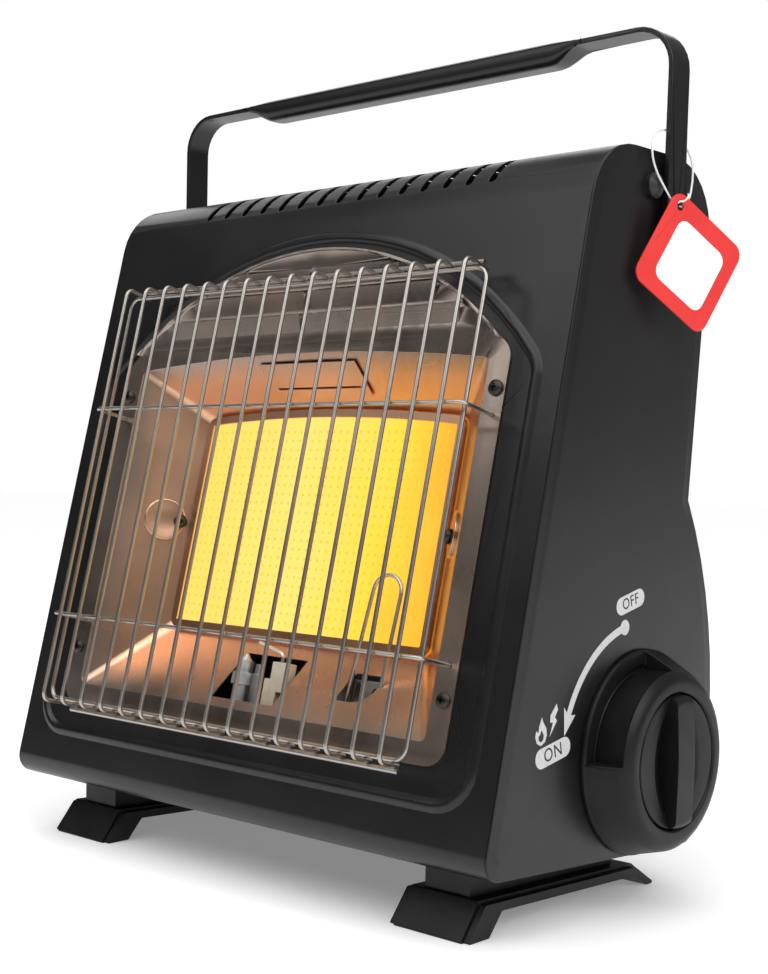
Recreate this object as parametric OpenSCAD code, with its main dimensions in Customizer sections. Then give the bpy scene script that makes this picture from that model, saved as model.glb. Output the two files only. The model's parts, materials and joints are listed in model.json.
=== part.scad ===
// Portable gas heater: a leaning sheet-metal casing with a ceramic radiant burner behind a
// wire guard, a gas cartridge bay at the back, a control knob and a folding carry handle.
// Millimetres. X points right, Y points back, Z points up from the table.

/* [Casing] */
// Width over the two side panels
casing_w = 270; // [250:1:300]
// Height of the casing's top above the table
casing_h = 288; // [280:1:300]
// Height at which the front plane would reach y = 0
front_z0 = 23.25; // [22:0.05:25]
// Backward lean of the front, in degrees
front_lean = 13.45; // [12:0.05:15]
// Bend radius from the front to the top
top_front_r = 28; // [18:1:30]
// Bend radius from the top to the back
top_rear_r = 26; // [20:1:28]
// Depth at which the upper back meets its top bend
rear_top_y = 140; // [134:0.2:142]
// Forward lean of the upper back towards its foot, in degrees
rear_lean = 6.6; // [5:0.1:8]
// Radius of the rounded lower back that covers the cartridge
bulge_r = 160; // [145:1:180]
// Depth of the rounded lower back at its furthest point
bulge_back = 147.3; // [145:0.1:152]
// Height of that furthest point
bulge_mid_z = 78; // [74:1:82]
// Height of the casing's underside at y = 0
bottom_z0 = 25.8; // [25:0.1:28]
// Fall of the underside towards the back, in degrees
bottom_slope = 3.27; // [2.5:0.1:3.6]
// Bend radius under the front
bottom_front_r = 8; // [5:0.5:9]
// Bend radius under the back
bottom_rear_r = 12; // [8:1:13]
// Thickness of the casing sheet
sheet = 1; // [0.8:0.1:1.4]
// Depth of the raised bead on the front
bead_h = 1.3; // [0.8:0.1:1.8]
// Width of the raised bead on the front
bead_w = 5; // [4:0.5:6]
// Gap between the sheet and each side panel
seam = 0.3; // [0.2:0.05:0.5]

/* [Side panels] */
// Thickness of a side panel's plate, which sits inside the sheet
side_plate = 2.2; // [2:0.1:3]
// Thickness of the rim that covers the sheet's edge
side_rim = 0.5; // [0.4:0.1:1]
// How far the raised field stands out of the rim
side_field = 0.5; // [0.4:0.1:1]
// Width of the rim around the raised field
side_border = 4.2; // [3:0.1:6]
// Width of the slope up to the raised field
side_slope = 1.4; // [1:0.1:2]

/* [Vents] */
// Number of slots over the top front bend
vent_n = 15; // [11:1:17]
// Distance between two slots
vent_pitch = 11.66; // [10:0.02:12]
// Width of a slot
vent_w = 3.6; // [2.5:0.1:4.5]
// Height up the front at which the slots start
vent_start = 262.4; // [256:0.2:263]
// Depth on the top at which the slots end
vent_end_y = 98; // [92:1:104]
// How far the row of slots sits to the right of the middle
vent_shift = 2; // [0:0.5:4]

/* [Burner] */
// Half the width of the ceramic plaque
plaque_w = 72.2; // [68:0.2:74]
// Height up the front of the plaque's lower edge
plaque_s0 = 80.3; // [78:0.1:84]
// Height up the front of the plaque's upper edge, at its middle
plaque_s1 = 174.2; // [168:0.1:176]
// Rise of the plaque's arched upper edge
plaque_arch = 3.5; // [2:0.1:5]
// Thickness of the plaque
plaque_t = 13; // [12:0.5:14]
// Depth of the plaque's face behind the front plane
plaque_n = 22.5; // [20:0.1:24]
// Width of the ceramic-fibre seal around the plaque
gasket_w = 1.6; // [1.2:0.1:2]
// Width of the lip that holds the plaque, over its edge
lip_over = 1.2; // [0.8:0.1:2]
// Width of the burner frame outside the plaque's edge
frame_w = 2.3; // [2:0.1:3]
// Depth of the gas chamber behind the plaque
chamber_d = 7; // [6:0.5:9]
// Thickness of the burner's sheet
burner_sheet = 1; // [0.8:0.1:1.2]
// Outer diameter of the mixing tube
venturi_d = 20; // [18:0.5:22]

/* [Reflector] */
// Half the width of the reflector's flange
flange_w = 109.7; // [108:0.1:112]
// Height up the front of the flange's lower edge
flange_s0 = 38.2; // [36:0.1:40]
// Radius of the flange's lower corners
flange_corner = 8.5; // [6:0.5:10]
// Radius of the flange's domed top
dome_r = 150; // [148:0.5:153]
// Height up the front of the dome's centre
dome_c = 89; // [88:0.5:91]
// Thickness of the reflector's sheet
reflector_t = 0.8; // [0.6:0.1:1]
// Half the width of the reflector's mouth
mouth_w = 100; // [98:0.5:101]
// Height up the front of the mouth's lower edge
mouth_s0 = 46.5; // [45:0.1:48]
// Height up the front of the mouth's upper edge, at its middle
mouth_s1 = 194.3; // [192:0.1:196]
// Rise of the mouth's arched upper edge
mouth_arch = 5.3; // [4:0.1:7]
// Height up the front of the lowest louvre
louvre_s0 = 210; // [208:0.5:212]
// Distance between two louvres
louvre_pitch = 10; // [9:0.1:11]
// How far a louvre's lip stands out
louvre_lift = 2.2; // [1.5:0.1:3]
// Distance of the reflector screws from the middle
screw_x = 105.5; // [104.5:0.1:106]
// Height up the front of the lower reflector screws
screw_s0 = 62.1; // [58:0.1:66]
// Height up the front of the upper reflector screws
screw_s1 = 177; // [174:0.1:181]

/* [Guard] */
// Number of upright guard wires
wire_n = 16; // [12:1:18]
// Distance between two upright wires
wire_pitch = 13; // [12:0.1:13.2]
// Diameter of the guard wire
wire_d = 1.7; // [1.4:0.1:2]
// Diameter of the two straight rods
rod_d = 2; // [1.6:0.1:2.4]
// Distance of the upright wires in front of the front plane
guard_n = 20; // [18:0.5:24]
// Height up the front of the guard's lower end
guard_s0 = 36.8; // [36:0.1:40]
// Height up the front of the guard's upper end
guard_s1 = 222; // [214:0.5:222]
// How far the upper hooks fall towards the casing
hook_fall = 0.9; // [0.4:0.1:2]
// Height up the front of the lower cross wire
cross_s0 = 74.5; // [70:0.1:80]
// Height up the front of the upper cross wire
cross_s1 = 166.8; // [160:0.1:170]
// Bend radius of the upright wires
hook_r = 3.2; // [2.5:0.1:4]
// Bend radius of the loop's corners
loop_r = 5; // [4:0.5:9]

/* [Feet] */
// Width of a foot runner
foot_w = 37; // [32:0.5:40]
// Distance of a runner from the middle
foot_x = 100.9; // [96:0.1:104]
// Front end of a runner on the table
foot_front = 11.8; // [10:0.1:14]
// Back end of a runner on the table
foot_back = 132.2; // [126:0.1:136]
// Length of the front pad on the table
foot_pad = 12.4; // [10:0.1:15]
// Length of the back pad on the table
foot_heel = 6.2; // [5:0.1:9]
// Height of the runner's top at its front
foot_h = 13.6; // [12.5:0.1:14]
// Fall of the runner's top towards the back, in degrees
foot_slope = 2.2; // [1.5:0.1:2.6]
// Thickness of the runner's web
foot_web = 4.4; // [4:0.1:5.5]
// Width of the block between a runner and the casing
riser_w = 21; // [18:0.5:24]

/* [Handle] */
// Height of the handle's top above the table
handle_h = 337; // [330:1:345]
// Width of the handle strap
strap_w = 12.5; // [11:0.5:14]
// Thickness of the handle strap
strap_t = 2; // [1.8:0.1:2.2]
// Gap between the strap and the side panel
strap_gap = 3.2; // [3:0.1:3.6]
// Outer bend radius of the strap
strap_bend = 16.5; // [10:0.5:18]
// How far the right leg is drawn in at its pivot
leg_in = 2; // [0:0.1:2.2]
// Depth of the handle's pivot
pivot_y = 107.5; // [106:0.5:109]
// Height of the handle's pivot
pivot_z = 256; // [250:1:258]
// Diameter of the pivot's shoulder
pivot_d = 6; // [5:0.5:6.5]
// Length of the thicker grip
grip_l = 194; // [170:1:210]
// Height of the grip
grip_h = 8.5; // [6:0.5:9]
// How far the grip's crown stands above the strap
grip_up = 1.5; // [0.5:0.1:2]
// Height of the stop above the pivot
stop_rise = 18; // [16:1:22]
// Radius of the stop
stop_r = 5; // [4:0.5:5.5]

/* [Control] */
// Depth of the knob's axis, which is the cartridge's axis too
knob_y = 94.2; // [93:0.1:96]
// Height of the knob's axis
knob_z = 58.2; // [57.5:0.1:60]
// Radius of the bezel at the side panel
bezel_r = 38.9; // [38:0.1:39.4]
// How far the bezel's foot is centred above the knob's axis
bezel_up = 1.6; // [0:0.1:2]
// Radius of the bezel near its front
bezel_front_r = 34.4; // [33:0.2:35]
// How far the bezel stands out
bezel_h = 17.3; // [16:0.1:19]
// Radius of the turning disc
disc_r = 24.9; // [22:0.1:25.4]
// Width of the knob's grip bar
bar_w = 11.4; // [8:0.1:12]
// Travel of the knob when it is pressed
press = 3; // [2:0.1:3.4]
// Diameter of the spindle
spindle_d = 6; // [5:0.5:7]

/* [Cartridge] */
// Diameter of the gas cartridge that the bay takes
cartridge_d = 70; // [66:1:71]
// Length of the gas cartridge that the bay takes
cartridge_l = 190; // [180:1:192]
// Thickness of the heat shield
shield_t = 0.8; // [0.6:0.1:1]
// Diameter of the door's hinge pin
door_pin_d = 3; // [2.5:0.1:3.2]

/* [Tag] */
// Side of the square hang tag
tag_side = 40; // [34:1:40]
// Thickness of the hang tag
tag_t = 0.8; // [0.6:0.1:1]
// Radius of the hang tag's corners
tag_corner = 5; // [3:0.5:6]
// Radius of the hang tag's hole
tag_hole_r = 1.7; // [1.4:0.1:2]

/* [Hidden] */
$fn = 48;

// Colours
black_paint = [0.09, 0.09, 0.1];
steel = [0.72, 0.71, 0.7];
galvanised = [0.6, 0.62, 0.64];
brass = [0.8, 0.62, 0.28];
white_ceramic = [0.93, 0.92, 0.88];
glowing = [1, 0.82, 0.2];
copper = [0.8, 0.5, 0.32];
black_plastic = [0.06, 0.06, 0.065];
rubber_black = [0.04, 0.04, 0.04];

// Clearances
rest_gap = 0.3;
slip_gap = 0.15;
running_gap = 0.05;
touch = 0.08;
cut = 1;

// ---- Outline functions ----

function unit(v) = v / norm(v);
function flat(p) = [p.x, p.y];
function reversed(p) = [for (i = [len(p) - 1:-1:0]) p[i]];
function along(a) = [cos(a), sin(a)];
function arc(c, r, a0, a1, n) = [for (i = [0:n]) c + r * along(a0 + (a1 - a0) * i / n)];

// Point where two lines meet, each given by a point on it and its normal
function meet(p, m, q, n) =
    let (d = m.x * n.y - m.y * n.x, a = p * m, b = q * n)
    [(a * n.y - b * m.y) / d, (b * m.x - a * n.x) / d];

// Far point where the line through p along u meets a circle
function line_circle(p, u, c, r) =
    let (w = c - p, k = w * u)
    p + u * (k + sqrt(k * k - w * w + r * r));

function half_angle(a, b, c) = acos(unit(a - b) * unit(c - b)) / 2;
function turn_by(a0, a1) = let (d = a1 - a0) d > 180 ? d - 360 : d < -180 ? d + 360 : d;

// Centre of the bend of radius r at b, between the lines to a and c
function bend_centre(a, b, c, r) =
    b + unit(unit(a - b) + unit(c - b)) * r / sin(half_angle(a, b, c));

// Arc points that round the corner b, between the lines to a and c
function bend(a, b, c, r, n) =
    let (
        m = bend_centre(a, b, c, r),
        t = r / tan(half_angle(a, b, c)),
        s = b + unit(a - b) * t - m,
        e = b + unit(c - b) * t - m,
        a0 = atan2(s.y, s.x)
    )
    arc(m, r, a0, a0 + turn_by(a0, atan2(e.y, e.x)), n);

// Closed outline through [x, y, radius] points, with each corner rounded
function rounded(p, n = 6) =
    let (m = len(p))
    [for (i = [0:m - 1])
        let (a = flat(p[(i + m - 1) % m]), b = flat(p[i]), c = flat(p[(i + 1) % m]))
        each p[i][2] > 0 ? bend(a, b, c, p[i][2], n) : [b]];

// Upright panel outline with a domed top: half width w, lower edge s0, lower corner radius r0,
// dome radius dr about [0, dc], upper corner radius r1
function domed(w, s0, r0, dr, dc, r1, n = 24) =
    let (b = acos((w - r1) / (dr - r1)), q = [w - r1, dc + (dr - r1) * sin(b)])
    concat(
        arc([-w + r0, s0 + r0], r0, 180, 270, 6),
        arc([w - r0, s0 + r0], r0, 270, 360, 6),
        arc(q, r1, 0, b, 4),
        arc([0, dc], dr, b, 180 - b, n),
        arc([-q.x, q.y], r1, 180 - b, 180, 4));

// Radius of an arch that rises by h over a half width w
function arch_r(w, h) = (w * w + h * h) / (2 * h);

// ---- Casing outline, in the plane of a side panel: [depth, height] ----

front_in = [cos(front_lean), -sin(front_lean)];
rear_in = [-cos(rear_lean), sin(rear_lean)];
rear_up = [sin(rear_lean), cos(rear_lean)];
bottom_in = [sin(bottom_slope), cos(bottom_slope)];
bottom_back = [cos(bottom_slope), -sin(bottom_slope)];
top_in = [0, -1];
front_pt = [0, front_z0];
rear_pt = [rear_top_y, casing_h - top_rear_r];
bottom_pt = [0, bottom_z0];
top_pt = [0, casing_h];
bulge_c = [bulge_back - bulge_r, bulge_mid_z];

function fillet_centre(p, m, q, n, r) = meet(p + m * r, m, q + n * r, n);
top_front_c = fillet_centre(front_pt, front_in, top_pt, top_in, top_front_r);
top_rear_c = fillet_centre(rear_pt, rear_in, top_pt, top_in, top_rear_r);
bottom_front_c = fillet_centre(front_pt, front_in, bottom_pt, bottom_in, bottom_front_r);
bottom_rear_c = line_circle(bottom_pt + bottom_in * bottom_rear_r, bottom_back,
    bulge_c, bulge_r - bottom_rear_r);
bulge_low_a = atan2(bottom_rear_c.y - bulge_c.y, bottom_rear_c.x - bulge_c.x);
front_a = 180 - front_lean;
bottom_a = -90 - bottom_slope;
top_a = 90;

// The kink, where the upper back meets the bulge
function kink_pt(t) = line_circle(rear_pt + rear_in * t, rear_up, bulge_c, bulge_r - t);
function kink_a(t) = let (d = kink_pt(t) - bulge_c) atan2(d.y, d.x);

function top_front_bend(t) = arc(top_front_c, top_front_r - t, front_a, top_a, 8);
function top_rear_bend(t) = arc(top_rear_c, top_rear_r - t, top_a, -rear_lean, 8);
function bulge_arc(t, a0, a1, n) = arc(bulge_c, bulge_r - t, a0, a1, n);
function bottom_rear_bend(t) = arc(bottom_rear_c, bottom_rear_r - t, bulge_low_a, bottom_a, 4);
function bottom_front_bend(t) =
    arc(bottom_front_c, bottom_front_r - t, bottom_a, front_a - 360, 6);

// Whole outline of the casing, moved inwards by t
function casing_outline(t) = concat(
    top_front_bend(t), top_rear_bend(t), bulge_arc(t, kink_a(t), bulge_low_a, 10),
    bottom_rear_bend(t), bottom_front_bend(t));

// ---- Placing ----

// How far the part reaches, for an origin at the middle of its underside
strap_in = casing_w / 2 + strap_gap;
strap_out = strap_in + strap_t;
rivet_head = 1.8;
reach_left = strap_out + rest_gap + rivet_head;
bar_front = casing_w / 2 + bezel_h + 3.9;
hook_n = guard_n - hook_r;
hook_s = guard_s0 + hook_r;
reach_front = hook_s * sin(front_lean) - hook_n * cos(front_lean) - hook_r - wire_d / 2;
origin = [(bar_front - reach_left) / 2, (bulge_back + reach_front) / 2, 0];

module place() translate(-origin) children();

// Local X across, Y up the front and Z out of it
module on_front() translate([0, 0, front_z0]) rotate([90 - front_lean, 0, 0]) children();

// A [depth, height] outline as a slab across the casing, from x0 to x1
module slab(x0, x1) translate([x0, 0, 0]) rotate([90, 0, 90]) linear_extrude(x1 - x0) children();

// Local Z along +X, from x0, about the axis at depth y and height z
module along_x(x0, y, z) translate([x0, y, z]) rotate([90, 0, 90]) children();

module both_sides() {
    children();
    mirror([1, 0, 0]) children();
}

// ---- Solids from outlines ----

// Solid through equal-count outlines, each [outline, height], stacked from low to high
module loft(layers) {
    n = len(layers[0][0]);
    m = len(layers);
    points = [for (l = layers) for (p = l[0]) [p.x, p.y, l[1]]];
    sides = [for (k = [0:m - 2]) for (i = [0:n - 1])
        let (a = k * n + i, b = k * n + (i + 1) % n) each [[a, a + n, b + n], [a, b + n, b]]];
    polyhedron(points, concat([[for (i = [0:n - 1]) i]],
        [[for (i = [n - 1:-1:0]) (m - 1) * n + i]], sides), convexity = 6);
}

// Points of a ring of radius r about p, square to the direction d
function ring(p, d, r, n) =
    let (
        w = unit(d),
        u = unit(cross(w, abs(w.z) < 0.8 ? [0, 0, 1] : [1, 0, 0])),
        v = cross(w, u)
    )
    [for (i = [0:n - 1]) p + r * (cos(360 * i / n) * u + sin(360 * i / n) * v)];

function path_dir(p, i) =
    i == 0 ? p[1] - p[0] : i == len(p) - 1 ? p[i] - p[i - 1] : unit(p[i + 1] - p[i])
    + unit(p[i] - p[i - 1]);

// Round tube along a path in space
module tube(p, r, n = 8) {
    m = len(p);
    rings = [for (i = [0:m - 1]) each ring(p[i], path_dir(p, i), r, n)];
    sides = [for (k = [0:m - 2]) for (i = [0:n - 1])
        let (a = k * n + i, b = k * n + (i + 1) % n) each [[a, a + n, b + n], [a, b + n, b]]];
    polyhedron(rings, concat([[for (i = [0:n - 1]) i]],
        [[for (i = [n - 1:-1:0]) (m - 1) * n + i]], sides), convexity = 6);
}

// Smooth path through a few points
function spline_pt(a, b, c, d, t) =
    0.5 * (2 * b + (c - a) * t + (2 * a - 5 * b + 4 * c - d) * t * t
    + (3 * b - 3 * c + d - a) * t * t * t);
function smooth(p, n) =
    let (m = len(p) - 1)
    concat([for (i = [0:m - 1]) for (k = [0:n - 1])
        spline_pt(p[max(i - 1, 0)], p[i], p[i + 1], p[min(i + 2, m)], k / n)], [p[m]]);

// Points of a coil about Z, from height 0 to h
function coil(r, h, turns, n) =
    [for (i = [0:turns * n]) [r * cos(360 * i / n), r * sin(360 * i / n), h * i / (turns * n)]];

// Closed round tube along a closed path in space
module ring_tube(p, r, n = 8) {
    m = len(p);
    function at(i) = p[(i + m) % m];
    rings = [for (i = [0:m - 1])
        each ring(at(i), unit(at(i + 1) - at(i)) + unit(at(i) - at(i - 1)), r, n)];
    polyhedron(rings, [for (k = [0:m - 1]) for (i = [0:n - 1])
        let (a = k * n + i, b = k * n + (i + 1) % n, c = (k + 1) % m * n + i,
            d = (k + 1) % m * n + (i + 1) % n) each [[a, c, d], [a, d, b]]], convexity = 6);
}

// Round wire along a flat path of [x, y, bend radius] points, open or closed
bend_steps = 4;
function lifted(p) = [for (q = p) [q.x, q.y, 0]];
module flat_wire(p, r, sides = 8) {
    m = len(p);
    tube(lifted(concat([flat(p[0])],
        [for (i = [1:m - 2]) each bend(flat(p[i - 1]), flat(p[i]), flat(p[i + 1]), p[i][2],
            bend_steps)], [flat(p[m - 1])])), r, sides);
}
module closed_wire(p, r, sides = 8) ring_tube(lifted(rounded(p, bend_steps)), r, sides);

module pan_screw(r, h, l) {
    cylinder(h = l, r = r * 0.5);
    translate([0, 0, l]) difference() {
        intersection() {
            cylinder(h = h, r = r);
            translate([0, 0, h - r * 1.6]) sphere(r * 1.6);
        }
        for (a = [0, 90]) rotate([0, 0, a]) translate([-r * 0.6, -r * 0.12, h * 0.45])
            cube([r * 1.2, r * 0.24, h]);
    }
}

module hex_nut(across, h, bore_r) difference() {
    cylinder(h = h, d = across / cos(30), $fn = 6);
    translate([0, 0, -cut]) cylinder(h = h + 2 * cut, r = bore_r);
}

// ---- Derived places ----

half_w = casing_w / 2;
rim_in = half_w - side_rim - side_field;
panel_in = rim_in - side_plate;
shell_half = rim_in - seam;
lip_half = panel_in - seam;
bottom_lip = 16;
rear_lip = 6;
seam_y = 0.6;
flange_top = dome_c + dome_r;
window_inset = 6;
window = [flange_w - window_inset, flange_s0 + window_inset, flange_corner - 3,
    dome_r - window_inset, dome_c, 4];
bead_gap = 12.8;
bead_top_gap = 5.2;
bead_mid = [flange_w + bead_gap, flange_s0 - bead_gap, 15, dome_r + 8, dome_c - 8 + bead_top_gap,
    14];
function domed_of(d, t) = domed(d[0] + t, d[1] - t, d[2] + t, d[3] + t, d[4], d[5] + t);

plaque = [plaque_w, plaque_s0, 2, arch_r(plaque_w, plaque_arch),
    plaque_s1 - arch_r(plaque_w, plaque_arch), 2];
mouth = [mouth_w, mouth_s0, 3, arch_r(mouth_w, mouth_arch), mouth_s1
    - arch_r(mouth_w, mouth_arch), 3];
frame_out = frame_w;
bowl_out = frame_w + 0.5;
bowl_n = plaque_n + 1.5;
burner_in = slip_gap + gasket_w + slip_gap;
burner_out = burner_in + burner_sheet;
burner_back = plaque_n + plaque_t + chamber_d;

// Reflector floor, from the mouth's lower edge back to the burner
floor_s1 = plaque_s0 - bowl_out;
floor_l = norm([floor_s1 - mouth_s0, bowl_n]);
floor_a = atan2(bowl_n, floor_s1 - mouth_s0);
module on_floor() on_front() translate([0, mouth_s0, 0]) rotate([-floor_a, 0, 0]) children();

function front_yz(s, n) = [s * sin(front_lean) - n * cos(front_lean),
    front_z0 + s * cos(front_lean) + n * sin(front_lean)];

// ---- Casing ----

module bead() {
    c = domed_of(bead_mid, 0);
    half = bead_w / 2;
    sink = 0.4;
    on_front() difference() {
        loft([[domed_of(bead_mid, half), -sink], [domed_of(bead_mid, half), 0],
            [domed_of(bead_mid, half * 0.72), bead_h * 0.6],
            [domed_of(bead_mid, half * 0.3), bead_h]]);
        loft([[domed_of(bead_mid, -half), -sink - cut], [domed_of(bead_mid, -half), 0],
            [domed_of(bead_mid, -half * 0.72), bead_h * 0.6],
            [domed_of(bead_mid, -half * 0.3), bead_h + 0.01]]);
    }
}

// Cutter for one slot over the top front bend, rounded at both ends
module vent_slot() {
    deep = 6 * sheet;
    a = front_yz(vent_start, cut);
    b = front_yz(vent_start, -deep);
    slab(-vent_w / 2, vent_w / 2) polygon([a, [a.x, casing_h + cut], [vent_end_y, casing_h + cut],
        [vent_end_y, casing_h - deep], [top_front_c.x, casing_h - deep], b]);
    on_front() translate([0, vent_start, -deep]) cylinder(h = deep + cut, d = vent_w);
    translate([0, vent_end_y, casing_h - deep]) cylinder(h = deep + cut, d = vent_w);
}

module front_shell() color(black_paint) place() difference() {
    union() {
        slab(-shell_half, shell_half) polygon(concat(front_path(0), reversed(front_path(sheet))));
        bead();
    }
    on_front() translate([0, 0, -3 * sheet]) linear_extrude(6 * sheet)
        polygon(domed_of(window, 0));
    for (i = [0:vent_n - 1])
        translate([vent_shift + (i - (vent_n - 1) / 2) * vent_pitch, 0, 0]) vent_slot();
    flange_holes(-3 * sheet, 6 * sheet);
}

// Path of the front sheet: under lip, front, top and rear lip
function front_path(t) = concat(
    [bottom_pt + bottom_in * t + bottom_back * bottom_lip],
    bottom_front_bend(t), top_front_bend(t), top_rear_bend(t),
    [top_rear_c - rear_in * (top_rear_r - t) - rear_up * rear_lip]);

screw_hole_r = 1.7;
guard_hole_r = wire_d / 2 + 0.15;
module flange_holes(z, h) both_sides() on_front() translate([screw_x, 0, z]) {
    for (s = [screw_s0, screw_s1]) translate([0, s, 0]) cylinder(h = h, r = screw_hole_r);
    for (s = [cross_s0, cross_s1]) translate([0, s, 0]) cylinder(h = h, r = guard_hole_r);
}

// Upper back, from the front sheet's lip to the lip over the door
door_lip = 8;
lip_corner = kink_pt(0);
function rear_path(t) =
    let (top = top_rear_c - rear_in * (top_rear_r - t) - rear_up * (rear_lip + seam_y))
    [top, lip_corner + (rear_in + rear_up) * t, lip_corner + rear_in * door_lip + rear_up * t];
function rear_wall(t) = [rear_path(t)[0], rear_path(t)[1]];
module rear_shell() color(black_paint) place() difference() {
    union() {
        slab(-shell_half, shell_half) polygon(concat(rear_wall(0), reversed(rear_wall(sheet))));
        slab(-lip_half, lip_half) polygon(concat(rear_path(0), reversed(rear_path(sheet))));
    }
    for (i = [-4:4]) translate([i * vent_pitch * 2, rear_top_y - 12, casing_h - 80])
        rotate([rear_lean, 0, 0]) cube([vent_w * 2, 40, 30]);
}

// Floor of the casing, with the lip that rises to the door
// The lip stops short of the door, so that the open door lies clear of it
pan_short = 7;
function base_path(t) = concat(
    [bottom_pt + bottom_in * t + bottom_back * (bottom_lip + seam_y)],
    reversed(arc(bottom_rear_c, bottom_rear_r - t, bulge_low_a - pan_short, bottom_a, 4)));
foot_screw_s = [28, 104];
foot_screw_r = 3.2;
module base_pan() color(black_paint) place() difference() {
    slab(-shell_half, shell_half) polygon(concat(base_path(0), reversed(base_path(sheet))));
    foot_bores(screw_hole_r);
}

// One side panel on the right: hollowed rim, slope and raised field
module side_panel() {
    x0 = panel_in;
    rim_x = rim_in + side_rim;
    t0 = side_border;
    inside = sheet + seam;
    difference() {
        rotate([90, 0, 90]) loft([
            [reversed(casing_outline(inside)), x0],
            [reversed(casing_outline(inside)), rim_in],
            [reversed(casing_outline(0)), rim_in],
            [reversed(casing_outline(side_rim * 0.3)), rim_in + side_rim * 0.6],
            [reversed(casing_outline(side_rim)), rim_x],
            [reversed(casing_outline(t0)), rim_x],
            [reversed(casing_outline(t0 + side_slope)), half_w]]);
        along_x(x0 - cut, pivot_y, pivot_z) cylinder(h = 10, r = rivet_shank_r + running_gap);
        along_x(x0 - cut, door_axis.x, door_axis.y)
            cylinder(h = cut + 1.6, r = door_pin_d / 2 + running_gap);
    }
}
module side_panel_left() color(black_paint) place() mirror([1, 0, 0]) side_panel();
module side_panel_right() color(black_paint) place() difference() {
    side_panel();
    along_x(panel_in - cut, knob_y, knob_z) cylinder(h = 10, r = panel_bore_r);
    for (a = bezel_screw_a) along_x(panel_in - cut, knob_y, knob_z)
        rotate([0, 0, a]) translate([bezel_screw_r, 0, 0]) cylinder(h = 10, r = screw_hole_r);
}

// Screws that hold the side panels to the sheet's inner flanges, from inside the back
casing_screw_z = [120, 215];
module casing_screws() color(steel) place() both_sides() for (z = casing_screw_z)
    translate([panel_in - 2.4, rear_top_y - 14 - (casing_h - z) * tan(rear_lean) * 0.6, z])
        rotate([0, 90, 0]) cylinder(h = 2.1, r = 2.6);

// ---- Feet ----

function foot_top(y) = foot_h - (y - foot_front) * tan(foot_slope);
function foot_under(y) = foot_top(y) - foot_web;
toe_lean = 9.8;
// Runner outline from the side, with its front, top and back moved out by t
function foot_outline(t) =
    let (front_top = foot_front + toe_lean, back_top = foot_back - heel_lean)
    rounded([
        [foot_front + 0.6 - t, 0, 0.6],
        [foot_front + foot_pad, 0, 0.6],
        [foot_front + foot_pad + 7.4, foot_under(foot_front + foot_pad + 7.4), 1.5],
        [back_top - 1.5, foot_under(back_top - 1.5), 1.5],
        [foot_back - foot_heel, 0, 0.6],
        [foot_back - 0.6 + t, 0, 0.6],
        [back_top + t * 0.4, foot_top(back_top) - ledge_h + t, 2.4],
        [front_top + 0.6 - t * 0.6, foot_top(front_top) - ledge_h + t, 1]], 4);
ledge_h = 1.2;
ledge_in = 2.8;
heel_lean = 14;
module foot_body() {
    slab(foot_x - foot_w / 2, foot_x + foot_w / 2) polygon(foot_outline(0));
    slab(foot_x - foot_w / 2 + ledge_in, foot_x + foot_w / 2 - ledge_in)
        polygon(foot_outline(ledge_h));
}
riser_y = [23, 112];
function case_under(y) = bottom_z0 - y * tan(bottom_slope);
function pan_top(y) = case_under(y) + sheet / cos(bottom_slope);
module riser() slab(foot_x - riser_w / 2, foot_x + riser_w / 2) polygon([
    [riser_y[0], foot_top(riser_y[0]) - 1], [riser_y[1], foot_top(riser_y[1]) - 1],
    [riser_y[1], case_under(riser_y[1])], [riser_y[0], case_under(riser_y[0])]]);
module foot_bores(r) both_sides() for (y = foot_screw_s)
    translate([foot_x, y, foot_under(y) + 2]) cylinder(h = 40, r = r);
module foot() difference() {
    union() {
        foot_body();
        riser();
    }
    foot_bores(screw_hole_r);
    for (y = foot_screw_s) translate([foot_x, y, -cut]) cylinder(h = foot_under(y) + 3 + cut, r = 4);
}
module foot_right() color(black_plastic) place() foot();
module foot_left() color(black_plastic) place() mirror([1, 0, 0]) foot();
module foot_screws() color(steel) place() both_sides() for (y = foot_screw_s)
    translate([foot_x, y, case_under(y) + sheet + 1]) rotate([180, 0, 0])
        pan_screw(foot_screw_r, 2, case_under(y) + sheet + 1 - foot_under(y) - 3);

// ---- Reflector ----

louvre_half = [83, 69, 44];
louvre_tall = 7;
louvre_slit = 1.4;
louvre_mid = 2.2;
hood_s0 = 198.5;
hood_raise = 0.7;
// One louvre: a flap that leans out of the hood, with the slit above it
module louvre_flap(i) {
    s = louvre_s0 + i * louvre_pitch;
    t = reflector_t + hood_raise;
    for (m = [0, 1]) mirror([m, 0, 0]) slab_sn(louvre_mid, louvre_half[i]) polygon([
        [s, t + louvre_lift - 0.7], [s, t + louvre_lift],
        [s - louvre_tall, t], [s - louvre_tall + 1, t - 0.5]]);
}
module louvre_cut(i) {
    s = louvre_s0 + i * louvre_pitch;
    for (m = [0, 1]) mirror([m, 0, 0]) slab_sn(louvre_mid, louvre_half[i]) polygon([
        [s, -cut], [s + louvre_slit, -cut], [s + louvre_slit, 4], [s, 4]]);
}
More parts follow.
